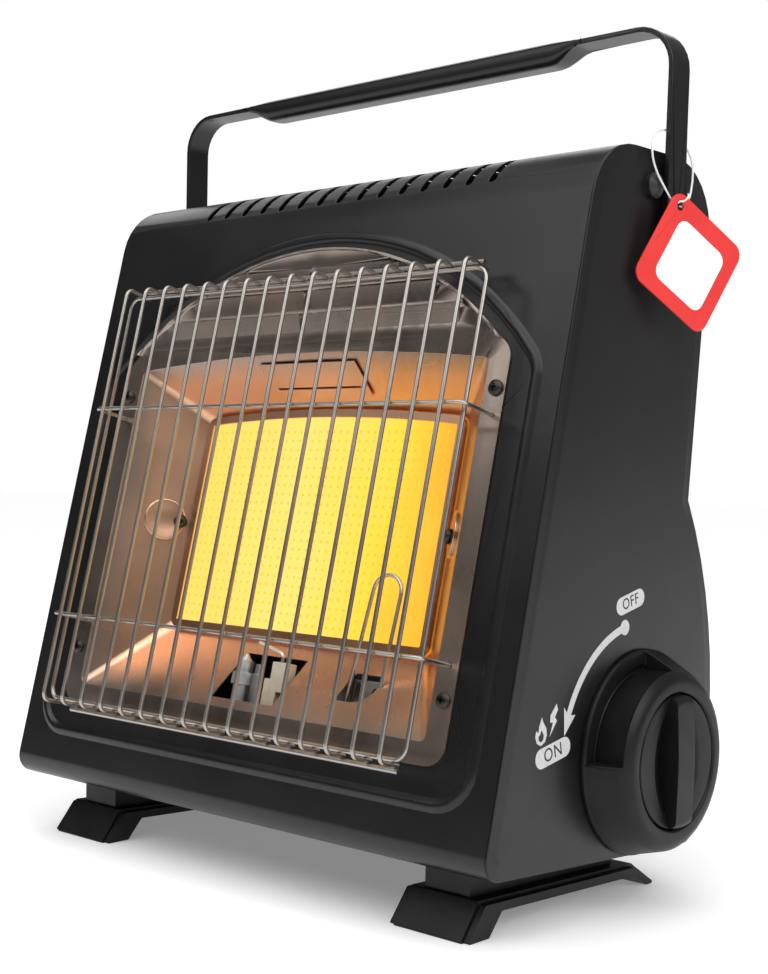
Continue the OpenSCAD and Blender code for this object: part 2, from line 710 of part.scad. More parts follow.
// Outline between the plaque's and the mouth's, k of the way out
function bowl_outline(t, k) =
    domed_of(plaque, bowl_out + t) * (1 - k) + domed_of(mouth, t) * k;
module bowl(t, e) loft([
    [bowl_outline(t, -e), -bowl_n * (1 + e)],
    [bowl_outline(t, 1 + e), bowl_n * e]]);
module reflector() color(steel) place() difference() {
    on_front() {
        linear_extrude(reflector_t) difference() {
            polygon(domed(flange_w, flange_s0, flange_corner, dome_r, dome_c, dome_corner));
            polygon(domed_of(mouth, 0));
        }
        difference() {
            union() {
                linear_extrude(reflector_t + hood_raise) intersection() {
                    polygon(domed(flange_w - 1, flange_s0, flange_corner, dome_r - 1,
                        dome_c, dome_corner - 1));
                    translate([-flange_w, hood_s0]) square([2 * flange_w, 60]);
                }
                for (i = [0:2]) louvre_flap(i);
            }
            for (i = [0:2]) louvre_cut(i);
        }
        hood_rim();
        difference() {
            union() {
                bowl(reflector_t, 0.01);
                for (m = [0, 1]) mirror([m, 0, 0]) on_wall(cup_k) translate([0, 0, -0.6])
                    cylinder(h = cup_h + 0.6, r1 = cup_r, r2 = cup_r - 0.8);
                translate([0, 0, -bowl_n - reflector_t]) linear_extrude(reflector_t)
                    polygon(domed_of(plaque, bowl_out + reflector_t));
            }
            difference() {
                bowl(0, 0.05);
                for (m = [0, 1]) mirror([m, 0, 0]) on_wall(cup_k) translate([0, 0, -2])
                    cylinder(h = cup_h + 2, r = cup_r + 0.1);
            }
            for (m = [0, 1]) mirror([m, 0, 0]) on_wall(cup_k)
                translate([0, 0, cup_h - 0.9 + dish_ball]) sphere(dish_ball, $fn = 64);
            translate([0, 0, -bowl_n - 2 * cut]) linear_extrude(4 * cut)
                polygon(domed_of(plaque, slip_gap));
        }
    }
    flange_holes(-cut, 4);
    floor_openings();
    on_front() for (m = [0, 1]) mirror([m, 0, 0]) on_wall(side_screw_k) translate([0, 0, -4])
        cylinder(h = 8, r = screw_hole_r);
}
dome_corner = 8;
cup_k = 0.64;
cup_r = 9.2;
cup_h = 1.2;
dish_ball = 38;
side_screw_k = 0.84;
wall_s = 124.6;
wall_w = mouth_w - plaque_w - bowl_out;
// On the right wall of the bowl, k of the way in, with local Z pointing into the bowl
module on_wall(k) translate([mouth_w - k * wall_w, wall_s, -k * bowl_n])
    rotate([0, -atan2(bowl_n, wall_w), 0]) children();
// A [height up the front, distance out] outline as a slab from x0 to x1, on the front
module slab_sn(x0, x1) slab(x0, x1) children();
// Turned-out edge along the hood's dome
module hood_rim() linear_extrude(3) intersection() {
    difference() {
        polygon(domed(flange_w, flange_s0, flange_corner, dome_r, dome_c, dome_corner));
        polygon(domed(flange_w - 1.2, flange_s0, flange_corner, dome_r - 1.2, dome_c,
            dome_corner - 1.2));
    }
    translate([-flange_w, hood_s0 - 2]) square([2 * flange_w, 60]);
}
// Flame wire: its plane, its radius and its two legs, which lean to the right, each with its place
// at the bracket and at the top
bracket_s = 44;
flame_n = -14;
flame_r = 0.8;
wire_legs = [[44, 50.2], [60.8, 64.4]];
wire_top = 107.2;
function wire_x(i, s) = wire_legs[i][0] + (wire_legs[i][1] - wire_legs[i][0])
    * (s - bracket_s) / (wire_top - bracket_s);
floor_wire_t = (flame_n / -bowl_n) * floor_l;
floor_wire_s = mouth_s0 + (flame_n / -bowl_n) * (floor_s1 - mouth_s0);
// Openings in the floor of the bowl for the pilot and for the flame wire
pilot_open = [-18.7, 17, 4.8, 30.4];
wire_open = [44.8, 61, 12.8, 27.6];
module floor_openings() on_floor() translate([0, 0, -4]) linear_extrude(8) {
    polygon(rounded([[pilot_open[0], pilot_open[2], 0.6], [pilot_open[1], pilot_open[2], 0.6],
        [pilot_open[1], pilot_open[3], 0.6], [pilot_open[0], pilot_open[3], 0.6]], 3));
    polygon(rounded([[wire_open[0], wire_open[2], 0.6], [wire_open[1], wire_open[2], 8],
        [wire_open[1], wire_open[3], 0.6], [wire_open[0], wire_open[3], 2]], 4));
    translate([wire_x(1, floor_wire_s), floor_wire_t]) circle(flame_r + 0.6);
}

// Plate under the bowl's ceiling, in two steps with a slit between them
plate_w = 28;
plate_gap = 0.9;
plate_t = 0.6;
ceiling_u = unit([plaque_s1 + bowl_out - mouth_s1, -bowl_n]);
function ceiling(d, off) = [mouth_s1, 0] + ceiling_u * d + [ceiling_u.y, -ceiling_u.x] * off;
module ceiling_plate() color(steel) place() on_front() difference() {
    slab_sn(-plate_w, plate_w) polygon([ceiling(4, plate_gap), ceiling(22, plate_gap),
        ceiling(22, plate_gap + plate_t), ceiling(4, plate_gap + plate_t)]);
    slab_sn(-plate_w + 4, plate_w - 4) polygon([ceiling(16.6, -cut), ceiling(17.6, -cut),
        ceiling(17.6, 3), ceiling(16.6, 3)]);
}

module reflector_screws() color(black_plastic) place() both_sides() on_front()
    for (s = [screw_s0, screw_s1]) translate([screw_x, s, reflector_t - 6])
        pan_screw(3.1, 1.9, 6);

// ---- Burner ----

module burner_shape(t, z, h) translate([0, 0, z]) linear_extrude(h)
    polygon(domed_of(plaque, t));
module burner_housing() color(galvanised) place() difference() {
    on_front() difference() {
        burner_shape(burner_out, -burner_back - burner_sheet,
            burner_back + burner_sheet - bowl_n - reflector_t - slip_gap);
        burner_shape(burner_in, -burner_back, burner_back);
    }
    on_front() translate([venturi_x, venturi_s, -burner_back - 2 * cut])
        cylinder(h = 4 * cut, r = venturi_d / 2 - 1.4);
}
module ceramic_plaque() color(glowing) place() on_front()
    burner_shape(0, -plaque_n - plaque_t, plaque_t);
module plaque_gasket() color(white_ceramic) place() on_front() difference() {
    burner_shape(slip_gap + gasket_w, -plaque_n - plaque_t, plaque_t - 3);
    burner_shape(slip_gap, -plaque_n - plaque_t - cut, plaque_t + 2 * cut);
}
module burner_frame() color(steel) place() on_front() {
    lip_t = 0.7;
    difference() {
        burner_shape(frame_out, -bowl_n, bowl_n - plaque_n + slip_gap + lip_t);
        burner_shape(frame_out - lip_t, -bowl_n - cut, bowl_n - plaque_n + slip_gap + cut);
        burner_shape(-lip_over, -bowl_n - cut, bowl_n + cut);
    }
}
module burner_screws() color(steel) place() both_sides() on_front() on_wall(side_screw_k)
    translate([0, 0, cup_h + 0.02 - 4]) pan_screw(3, 1.7, 4);

venturi_x = -38;
venturi_s = 132;
venturi_n = burner_back + burner_sheet + 15;
venturi_end = 86;
module venturi_tube() color(galvanised) place() on_front() difference() {
    union() {
        translate([venturi_x, venturi_s, -venturi_n]) {
            cylinder(h = venturi_n - burner_back - burner_sheet, r = venturi_d / 2);
            sphere(venturi_d / 2);
            rotate([0, 90, 0]) cylinder(h = venturi_end - venturi_x - 12, r = venturi_d / 2);
        }
        translate([venturi_end - 14, venturi_s, -venturi_n]) rotate([0, 90, 0])
            cylinder(h = 14, r1 = venturi_d / 2, r2 = venturi_d / 2 + 4);
    }
    translate([venturi_x, venturi_s, -venturi_n]) {
        cylinder(h = venturi_n, r = venturi_d / 2 - 1.2);
        rotate([0, 90, 0]) cylinder(h = 200, r = venturi_d / 2 - 1.2);
    }
    translate([venturi_end - 13, venturi_s, -venturi_n]) rotate([0, 90, 0])
        cylinder(h = 14, r1 = venturi_d / 2 - 1.2, r2 = venturi_d / 2 + 2.8);
}
injector_x = venturi_end + 1;
module injector() color(brass) place() on_front() {
    translate([injector_x - 9, venturi_s, -venturi_n]) rotate([0, 90, 0]) {
        cylinder(h = 10, r1 = 1.6, r2 = 4);
        translate([0, 0, 9]) cylinder(h = 9, d = 12 / cos(30), $fn = 6);
        translate([0, 0, 17]) cylinder(h = 5, r = 4.5);
    }
    // Cross stay that carries the injector on the mixing tube's mouth
    translate([venturi_end - 2.6, venturi_s, -venturi_n]) rotate([0, 90, 0]) for (a = [45, 135])
        rotate([0, 0, a]) translate([-venturi_d / 2 - 1.7, -1, 0]) cube([venturi_d + 3.4, 2, 1.6]);
}

// ---- Heat shield and cartridge bay ----

cart_r = cartridge_d / 2;
bay_x1 = half_w - 42;
bay_x0 = bay_x1 - cartridge_l;
shield_r = cart_r + 3.4;
module heat_shield() color(galvanised) place() difference() {
    along_x(-lip_half, knob_y, knob_z) difference() {
        cylinder(h = lip_half + bracket_x - rest_gap, r = shield_r + shield_t);
        translate([0, 0, -cut]) cylinder(h = 3 * half_w, r = shield_r);
    }
    translate([-2 * half_w, knob_y - half_w, knob_z - half_w - cart_r * 0.2])
        cube([4 * half_w, 2 * half_w, half_w]);
    translate([-2 * half_w, knob_y + cart_r * 0.35, knob_z - half_w])
        cube([4 * half_w, half_w, 2 * half_w]);
}
cradle_x = [bay_x0 + 30, bay_x1 - 60];
module cartridge_cradle() color(galvanised) place() difference() {
    for (x = cradle_x) slab(x, x + 14) polygon([
        [knob_y - 30, pan_top(knob_y - 30)], [knob_y + 30, pan_top(knob_y + 30)],
        [knob_y + 30, knob_z - 20], [knob_y - 30, knob_z - 20]]);
    along_x(bay_x0 - 20, knob_y, knob_z) cylinder(h = 300, r = cart_r + rest_gap);
    for (x = cradle_x) translate([x + 1.2, knob_y - 60, 0]) cube([14 - 2.4, 120, knob_z - 21.5
        - cart_r * 0.2]);
}
// Bowed leaf that pushes the cartridge towards its collar
leaf_w = 16;
module cartridge_spring() color(steel) place() translate([-panel_in + rest_gap, 0, knob_z - leaf_w / 2])
    linear_extrude(leaf_w) {
        bow = bay_x0 + panel_in - 2;
        r = arch_r(24, bow);
        difference() {
            translate([bow - r, knob_y]) circle(r, $fn = 96);
            translate([bow - r, knob_y]) circle(r - 0.8, $fn = 96);
            translate([-2 * r, knob_y - 2 * r]) square([2 * r + 0.4, 4 * r]);
        }
        translate([0, knob_y - 26]) square([0.8, 52]);
    }

// ---- Gas side ----

bracket_x = bay_x1 + 8;
bracket_t = 1.4;
module valve_bracket() color(galvanised) place() difference() {
    union() {
        slab(bracket_x, bracket_x + bracket_t) polygon([
            [knob_y - 40, pan_top(knob_y - 40)], [knob_y + 26, pan_top(knob_y + 26)],
            [knob_y + 36, knob_z], [knob_y + 36, knob_z + 48], [knob_y - 26, knob_z + 48],
            [knob_y - 40, knob_z + 10]]);
        slab(bracket_x, bracket_x + 14) polygon([
            [knob_y - 40, pan_top(knob_y - 40)], [knob_y + 26, pan_top(knob_y + 26)],
            [knob_y + 26, pan_top(knob_y + 26) + bracket_t],
            [knob_y - 40, pan_top(knob_y - 40) + bracket_t]]);
    }
    along_x(bracket_x - cut, knob_y, knob_z) cylinder(h = 4, r = neck_r + slip_gap);
    // Room for the heads of the foot's screws
    for (y = foot_screw_s) translate([foot_x, y, 0]) cylinder(h = 40, r = foot_screw_r + rest_gap);
}
neck_r = 9;
collar_r = 22;
seat_r = 7.2;
module cartridge_collar() color(brass) place() along_x(bay_x1, knob_y, knob_z) difference() {
    union() {
        cylinder(h = bracket_x - bay_x1, r = collar_r);
        cylinder(h = bracket_x - bay_x1 + bracket_t, r = neck_r);
    }
    translate([0, 0, -cut]) cylinder(h = 5 + cut, r = collar_r - 3);
    translate([0, 0, -cut]) cylinder(h = 40, r = seat_r);
    translate([collar_r - 4, -4, -cut]) cube([8, 8, 4 + cut]);
}
reg_x = bracket_x + bracket_t;
reg_l = 9;
module regulator() color(brass) place() along_x(reg_x, knob_y, knob_z) difference() {
    union() {
        cylinder(h = reg_l, r = 17);
        translate([0, -14, reg_l / 2]) rotate([90, 0, 0]) cylinder(h = 12, r = 4);
    }
    translate([0, 0, -cut]) cylinder(h = 4, r = 2);
}
valve_x = reg_x + reg_l;
nut_h = 3.4;
valve_l = panel_in - valve_x - nut_h - rest_gap;
module gas_valve() color(brass) place() along_x(valve_x, knob_y, knob_z) difference() {
    union() {
        cylinder(h = valve_l, r = 12);
        cylinder(h = half_w - side_field - valve_x, r = neck_out_r);
        rotate([90, 0, 180]) translate([0, valve_l / 2, 8]) cylinder(h = 10, r = 4.5);
    }
    translate([0, 0, spindle_x - valve_x]) cylinder(h = 60, r = spindle_d / 2 + running_gap);
}
neck_out_r = 5.4;
panel_bore_r = neck_out_r + slip_gap;
module valve_nut() color(brass) place() along_x(panel_in - nut_h - slip_gap, knob_y, knob_z)
    hex_nut(17, nut_h, neck_out_r + running_gap);

// Pipe from the valve's upper outlet to the injector
valve_out = [valve_x + valve_l / 2, knob_y, knob_z + 18 + touch];
injector_yz = front_yz(venturi_s, -venturi_n);
injector_end = [injector_x + 13 + touch, injector_yz.x, injector_yz.y];
module gas_pipe() color(copper) place() tube(smooth([valve_out, valve_out + [0, 0, 4],
    valve_out + [0, 0, 14], valve_out + [3, 1, 30],
    [injector_end.x + 8, injector_end.y, injector_end.z - 20],
    [injector_end.x + 8, injector_end.y, injector_end.z - 7],
    [injector_end.x + 6.2, injector_end.y, injector_end.z - 1.2],
    injector_end + [3, 0, 0], injector_end], 3), 2.6, 10);

// ---- Pilot ----

pilot_n = -12;
pilot_x = -11.4;
module pilot_bracket() color(steel) place() on_front() difference() {
    union() {
        translate([-28, bracket_s, -22]) cube([102, 1, 22 - sheet - slip_gap]);
        translate([-28, bracket_s - 12, -sheet - slip_gap - 1]) cube([102, 12.5, 1]);
        // Upright tab with a hole, behind the flame wire
        translate([44.4, bracket_s + 0.5, -18]) cube([17, 21.5, 0.9]);
    }
    translate([56.8, 61.5, -20]) cylinder(h = 4, r = 1.9);
    translate([47.6, 50, -20]) {
        translate([-1.6, 0, 0]) cube([3.2, 13, 4]);
        translate([0, 13, 0]) cylinder(h = 4, r = 1.6);
    }
    for (x = [pilot_x, rod_x]) translate([x, bracket_s - cut, pilot_n]) rotate([-90, 0, 0])
        cylinder(h = 3, r = 2.4);
    for (i = [0, 1]) translate([wire_x(i, bracket_s), bracket_s - cut, flame_n]) rotate([-90, 0, 0])
        cylinder(h = 3, r = flame_r + slip_gap);
}
module pilot_burner() color(galvanised) place() on_front()
    translate([pilot_x, bracket_s - 8, pilot_n]) rotate([-90, 0, 0]) {
        cylinder(h = 14, r = 2.3);
        translate([0, 0, 9]) cylinder(h = 5, d = 9 / cos(30), $fn = 6);
        translate([0, 0, 14]) cylinder(h = 7, r = 3.4);
        translate([0, 0, 21]) cylinder(h = 5, d = 8.4 / cos(30), $fn = 6);
        translate([0, 0, 26]) cylinder(h = 5, r = 3.6);
        translate([0, 0, 31]) cylinder(h = 3, r1 = 2.6, r2 = 0.4);
    }
rod_x = -3;
module thermocouple() color(copper) place() on_front()
    translate([rod_x, bracket_s - 8, pilot_n]) rotate([-90, 0, 0]) {
        cylinder(h = 26, r = 2.3);
        translate([0, 0, 26]) cylinder(h = 4, r = 1.6);
    }
ceramic_x = 7.4;
module electrode_ceramic() color(white_ceramic) place() on_front() difference() {
    union() {
        translate([ceramic_x - 3.6, bracket_s + 1, pilot_n - 3]) cube([7.4, 16, 6]);
        translate([ceramic_x - 0.4, bracket_s + 12, pilot_n - 3]) cube([8, 12, 6]);
    }
    translate([ceramic_x + 2, bracket_s, pilot_n]) rotate([-90, 0, 0]) cylinder(h = 30, r = 1);
}
module electrode() color(steel) place() on_front()
    translate([ceramic_x + 2, bracket_s + 2, pilot_n]) rotate([0, 0, 0])
        flat_wire([[0, 0, 0], [0, 25.5, 2], [-15, 29, 0]], 0.75);
module flame_wire() color(steel) place() on_front() translate([0, 0, flame_n])
    flat_wire([[wire_x(0, bracket_s - 3), bracket_s - 3, 0], [wire_legs[0][1], wire_top, 6.8],
        [wire_legs[1][1], wire_top, 6.8], [wire_x(1, bracket_s - 3), bracket_s - 3, 0]], flame_r);
pilot_foot = front_yz(bracket_s - 8, pilot_n);
module pilot_pipe() color(copper) place() tube(smooth([
    [pilot_x, pilot_foot.x - 0.2, pilot_foot.y - 0.9],
    [pilot_x + 1, pilot_foot.x - 1, pilot_foot.y - 5],
    [pilot_x + 8, pilot_foot.x + 1, pilot_foot.y - 8],
    [40, knob_y - 62, 38], [85, knob_y - 52, 38], [bracket_x + 1, knob_y - 48, 39],
    [reg_x + reg_l / 2, knob_y - 40, 42],
    [reg_x + reg_l / 2, knob_y - 30, knob_z - 4],
    [reg_x + reg_l / 2, knob_y - 25.7, knob_z]], 3), 1.5, 8);

// ---- Igniter ----

piezo_y = knob_y - 26;
piezo_z = knob_z + 32;
module piezo_igniter() color(black_plastic) place() along_x(bracket_x + bracket_t, piezo_y + 6, piezo_z) {
    cylinder(h = 24, r = 6);
    translate([0, 0, 24]) cylinder(h = 3, r = 3);
}
lead_end = front_yz(bracket_s - 3, pilot_n);
module ignition_lead() color(rubber_black) place() tube(smooth([
    [bracket_x + bracket_t + 12, piezo_y - touch, piezo_z],
    [bracket_x + bracket_t + 12, piezo_y - 4, piezo_z - 1], [bracket_x + 8, knob_y - 42, piezo_z - 5],
    [bracket_x, knob_y - 46, piezo_z - 12],
    [90, 44, 62], [60, 34, 48], [30, lead_end.x + 4, lead_end.y - 10],
    [ceramic_x + 6, lead_end.x, lead_end.y - 7],
    [ceramic_x + 2, lead_end.x, lead_end.y + 1]], 3), 1.2, 8);

// ---- Knob ----

bezel_x = half_w;
bezel_screw_r = 27.5;
bezel_screw_a = [30, 150, 270];
pocket_r = 31;
opening_r = disc_r + 0.5;
function disc_pts(r, up) = [for (i = [0:71]) [r * cos(5 * i), r * sin(5 * i) + up]];
module knob_bezel() color(black_plastic) place() along_x(bezel_x, knob_y, knob_z) difference() {
    loft([
        [disc_pts(bezel_r, bezel_up), 0],
        [disc_pts(bezel_r, bezel_up), 1.6],
        [disc_pts(bezel_r - 0.4, bezel_up), 2.1],
        [disc_pts(bezel_front_r, bezel_up * 0.2), bezel_h - 4.6],
        [disc_pts(bezel_front_r - 0.9, 0), bezel_h - 2.8],
        [disc_pts(bezel_front_r - 2.3, 0), bezel_h - 1.2],
        [disc_pts(bezel_front_r - 4, 0), bezel_h - 0.3],
        [disc_pts(bezel_front_r - 5.4, 0), bezel_h]]);
    translate([0, 0, -cut]) cylinder(h = bezel_h + 2 * cut, r = opening_r, $fn = 96);
    translate([0, 0, bezel_h - 0.8]) cylinder(h = 1, r1 = opening_r, r2 = opening_r + 1, $fn = 96);
    // Quarter pocket from the top round to the front
    translate([0, bezel_up, 0]) rotate([0, 0, 90]) rotate_extrude(angle = 90, $fn = 96) polygon([
        [pocket_r, 1], [pocket_r + 2, 1], [pocket_r + 2, 2.2], [bezel_r + 5, 2.2],
        [bezel_r + 5, bezel_h + 2], [pocket_r, bezel_h - 3.6]]);
    for (a = bezel_screw_a) rotate([0, 0, a]) translate([bezel_screw_r, 0, -cut])
        cylinder(h = 9, r = 1.3);
}
module bezel_screws() color(steel) place() for (a = bezel_screw_a)
    along_x(panel_in, knob_y, knob_z) rotate([0, 0, a]) translate([bezel_screw_r, 0, 0])
        rotate([180, 0, 0]) translate([0, 0, -6]) {
            cylinder(h = 6, r = 1.2);
            translate([0, 0, 6]) cylinder(h = 1.6, r = 2.6);
        }

spindle_x = valve_x + 8;
disc_x = half_w + bezel_h - 0.4;
disc_t = 8;
hub_r = 6.5;
hub_x = half_w + 1.4 + press;
bore_end = disc_x - 2.4;
spindle_end = bore_end - press - 0.4;
flat_cut = 0.8;
scoop_r = 57;
scoop_c = 14.9;
scoop_up = 48.2;
module spindle() color(steel) place() {
    along_x(spindle_x, knob_y, knob_z) cylinder(h = hub_x - press - 1 - spindle_x, r = spindle_d / 2);
    along_x(hub_x - press - 1, knob_y, knob_z) difference() {
        cylinder(h = spindle_end - hub_x + press + 1, r = spindle_d / 2);
        translate([spindle_d / 2 - flat_cut, -10, -cut]) cube([10, 20, 40]);
    }
}
module knob() color(black_plastic) place() difference() {
    union() {
        along_x(disc_x - disc_t, knob_y, knob_z) rotate_extrude($fn = 96) polygon(rounded([
            [0, 0, 0], [disc_r, 0, 0], [disc_r, disc_t, 0.6], [0, disc_t, 0]], 4));
        along_x(hub_x, knob_y, knob_z) cylinder(h = disc_x - disc_t - hub_x + 1, r = hub_r);
        intersection() {
            along_x(disc_x - 5, knob_y, knob_z) rotate_extrude($fn = 96) polygon(rounded([
                [0, 0, 0], [disc_r - 0.2, 0, 0], [disc_r - 0.2, bar_front - disc_x + 4, 3],
                [0, bar_front - disc_x + 5, 0]], 5));
            translate([disc_x - 5, knob_y - bar_w / 2, knob_z - 2 * disc_r])
                cube([40, bar_w, 4 * disc_r]);
        }
    }
    // A scoop on each side of the bar, deepest along it
    for (m = [0, 180]) along_x(disc_x, knob_y, knob_z) rotate([0, 0, m]) intersection() {
        translate([-scoop_c, 0, scoop_up]) sphere(scoop_r, $fn = 96);
        translate([bar_w / 2, -disc_r, -disc_t]) cube([disc_r, 2 * disc_r, 2 * disc_t]);
    }
    along_x(hub_x - cut, knob_y, knob_z) difference() {
        cylinder(h = bore_end - hub_x + cut, r = spindle_d / 2 + running_gap);
        translate([spindle_d / 2 - flat_cut + running_gap, -10, -cut]) cube([10, 20, 40]);
    }
}
spring_r = hub_r + 2.6;
module knob_spring() color(steel) place() along_x(half_w + 1, knob_y, knob_z)
    tube(coil(spring_r, disc_x - disc_t - half_w - 2, 3, 16), 0.6, 6);

// ---- Handle ----

rivet_shank_r = 2.5;
// Rivet on one side, for a leg whose inner face lies g outside the panel
module handle_rivet(g) {
    along_x(panel_in - 1.5, pivot_y, pivot_z)
        cylinder(h = half_w - panel_in + 1.5, r = rivet_shank_r);
    along_x(half_w, pivot_y, pivot_z) cylinder(h = g - rest_gap, r = 7);
    along_x(half_w, pivot_y, pivot_z) cylinder(h = g + strap_t + rest_gap, r = pivot_d / 2);
    along_x(half_w + g + strap_t + rest_gap, pivot_y, pivot_z) intersection() {
        cylinder(h = rivet_head, r = 6);
        translate([0, 0, rivet_head - 12]) sphere(12);
    }
    along_x(panel_in - 2.5, pivot_y, pivot_z) cylinder(h = 1, r = 5);
}
module handle_rivets() color(steel) place() {
    handle_rivet(strap_gap - leg_in);
    mirror([1, 0, 0]) handle_rivet(strap_gap);
}
stop_h = 4.2;
stop_y = pivot_y - strap_w / 2 - stop_r - rest_gap;
module handle_stops() color(rubber_black) place() both_sides()
    along_x(half_w, stop_y, pivot_z + stop_rise) intersection() {
        cylinder(h = stop_h, r = stop_r);
        translate([0, 0, stop_h - stop_r * 1.35]) sphere(stop_r * 1.35);
    }

// Strap seen from the front: outer line and inner line as one closed outline
leg_foot = pivot_z - 8;
function strap_line(t) = concat(
    [[-strap_out + t, leg_foot]],
    bend([-strap_out + t, leg_foot], [-strap_out + t, handle_h - t],
        [strap_out - t, handle_h - t], strap_bend - t, 8),
    bend([-strap_out + t, handle_h - t], [strap_out - t, handle_h - t],
        [strap_out - t - leg_in * 1.1, leg_foot], strap_bend - t, 8),
    [[strap_out - t - leg_in * 1.1, leg_foot]]);
module across_y(y0, w) translate([0, y0 + w, 0]) rotate([90, 0, 0]) linear_extrude(w) children();
// Cross-section of the grip, f of the way from the flat strap to the full rounded bar
function grip_section(f) =
    let (
        w = strap_w / 2 + 0.1 + 0.4 * f,
        top = handle_h + 0.05 + grip_up * f,
        low = handle_h - strap_t + 0.3 - (grip_h - strap_t) * f,
        r = 0.5 + 3.5 * f
    )
    concat(arc([-w + r, low + r], r, 180, 270, 5), arc([w - r, low + r], r, 270, 360, 5),
        arc([w - r, top - r], r, 0, 90, 5), arc([-w + r, top - r], r, 90, 180, 5));
grip_ramp = 16;
grip_f = [0.02, 0.1, 0.35, 0.65, 0.9, 1];
function grip_x(i) = grip_l / 2 - grip_ramp * i / (len(grip_f) - 1);
module grip() translate([0, pivot_y, 0]) rotate([90, 0, 90]) loft(concat(
    [for (i = [0:len(grip_f) - 1]) [grip_section(grip_f[i]), -grip_x(i)]],
    [for (i = [len(grip_f) - 1:-1:0]) [grip_section(grip_f[i]), grip_x(i)]]));
module leg_eye(x) along_x(x, pivot_y, pivot_z) cylinder(h = strap_t, r = eye_r);
eye_r = strap_w / 2 + 1.5;
module handle() color(black_paint) place() difference() {
    union() {
        difference() {
            across_y(pivot_y - strap_w / 2, strap_w)
                polygon(concat(strap_line(0), reversed(strap_line(strap_t))));
            // The legs end inside their eyes
            translate([-200, pivot_y - 50, pivot_z - 40]) cube([400, 100, 40]);
        }
        mirror([1, 0, 0]) leg_eye(strap_in);
        leg_eye(strap_in - leg_in);
        grip();
    }
    for (m = [0, 1]) mirror([m, 0, 0]) along_x(half_w - cut, pivot_y, pivot_z)
        cylinder(h = 20, r = pivot_d / 2 + running_gap);
}

// ---- Cartridge door ----

door_gap = 0.5;
door_half = panel_in - door_gap;
door_t = sheet;
door_axis = bulge_c + (bulge_r - 4.2) * along(bulge_low_a + 1.3);
door_top_a = kink_a(0) - 0.6;
door_low_a = bulge_low_a + 1.6;
knuckle_r = door_pin_d / 2 + 1.4;
knuckles = [[-112, 34], [-17, 34], [78, 34]];
module cartridge_door() color(black_paint) place() difference() {
    union() {
        slab(-door_half, door_half) polygon(concat(bulge_arc(0, door_low_a, door_top_a, 16),
            reversed(bulge_arc(door_t, door_low_a, door_top_a, 16))));
        for (k = knuckles) intersection() {
            slab(k[0], k[0] + k[1]) polygon(concat([door_axis],
                bulge_arc(door_t / 2, door_low_a, door_low_a + 1.6, 3)));
            slab(-door_half, door_half) polygon(casing_outline(door_t / 2));
        }
        for (k = knuckles) along_x(k[0], door_axis.x, door_axis.y) cylinder(h = k[1], r = knuckle_r);
        // Finger pull along the top edge
        slab(-24, 24) polygon(concat(bulge_arc(-2.4, door_top_a - 4.6, door_top_a - 3.4, 2),
            reversed(bulge_arc(0.4, door_top_a - 5, door_top_a - 3, 2))));
    }
    for (k = knuckles) along_x(k[0] - cut, door_axis.x, door_axis.y)
        cylinder(h = k[1] + 2 * cut, r = door_pin_d / 2 + running_gap);
    for (i = [-5:5]) translate([i * 14 - 3, bulge_back - 20, bulge_mid_z - 28]) cube([6, 40, 3]);
    for (i = [-5:5]) translate([i * 14 - 3, bulge_back - 20, bulge_mid_z - 20]) cube([6, 40, 3]);
}
module door_hinge_pin() color(steel) place() along_x(-panel_in - 1.2, door_axis.x, door_axis.y)
    cylinder(h = 2 * (panel_in + 1.2), r = door_pin_d / 2);
magnet_x = [-60, 48];
module door_magnets() color(black_plastic) place() for (x = magnet_x) {
    p = lip_corner + rear_in * (door_lip * 0.6);
    slab(x, x + 12) polygon([p + [0, -0.9], p + [-4, -0.4], p + [-4, -6], p + [0, -6]]);
}
module door_strike() color(steel) place() for (x = magnet_x)
    slab(x, x + 12) polygon(concat(
        bulge_arc(door_t + slip_gap, door_top_a - 3.2, door_top_a - 1.4, 2),
        reversed(bulge_arc(door_t + slip_gap + 0.8, door_top_a - 3.2, door_top_a - 1.4, 2))));

// ---- Hang tag ----

tag_turn = 73;
tag_roll = 13;
tag_hole = [half_w + 8.6, 102, 266.2];
tag_edge = 4.8;
module hang_tag() color([0.9, 0.2, 0.18]) place() translate(tag_hole)
    rotate([90, 0, tag_turn]) rotate([0, 0, tag_roll - 135]) translate([0, 0, -tag_t / 2])
        difference() {
            linear_extrude(tag_t) polygon(rounded([
                [-tag_edge, -tag_edge, tag_corner], [tag_side - tag_edge, -tag_edge, tag_corner],
                [tag_side - tag_edge, tag_side - tag_edge, tag_corner],
                [-tag_edge, tag_side - tag_edge, tag_corner]], 6));
            translate([0, 0, -cut]) cylinder(h = tag_t + 2 * cut, r = tag_hole_r);
        }

// The string's route, from behind the tag's hole round the handle's leg and back
string_r = 0.4;
string_route = [[142.4, 101.9, 266.2], [141.8, 101, 267], [141, 99.3, 269.2],
    [140.4, 95.9, 273], [139.3, 92.5, 278], [138.6, 90.4, 283.5], [138, 91, 289],
    [137, 94.6, 293.2], [136.3, 100, 295.6], [136.2, 106, 296], [136.4, 111.4, 294.6],
    [137.4, 115.2, 291.6], [139, 116.2, 288], [140.6, 115.4, 284], [142.2, 113, 279.4],
    [143.4, 110.4, 274.8], [144, 108.2, 270.8], [143.5, 106.4, 267.8], [143, 104.2, 266.5],
    [142.7, 102.9, 266.4]];
module tag_string() color([0.92, 0.92, 0.92]) place() tube(smooth(string_route, 3), string_r, 8);

// ---- Guard ----

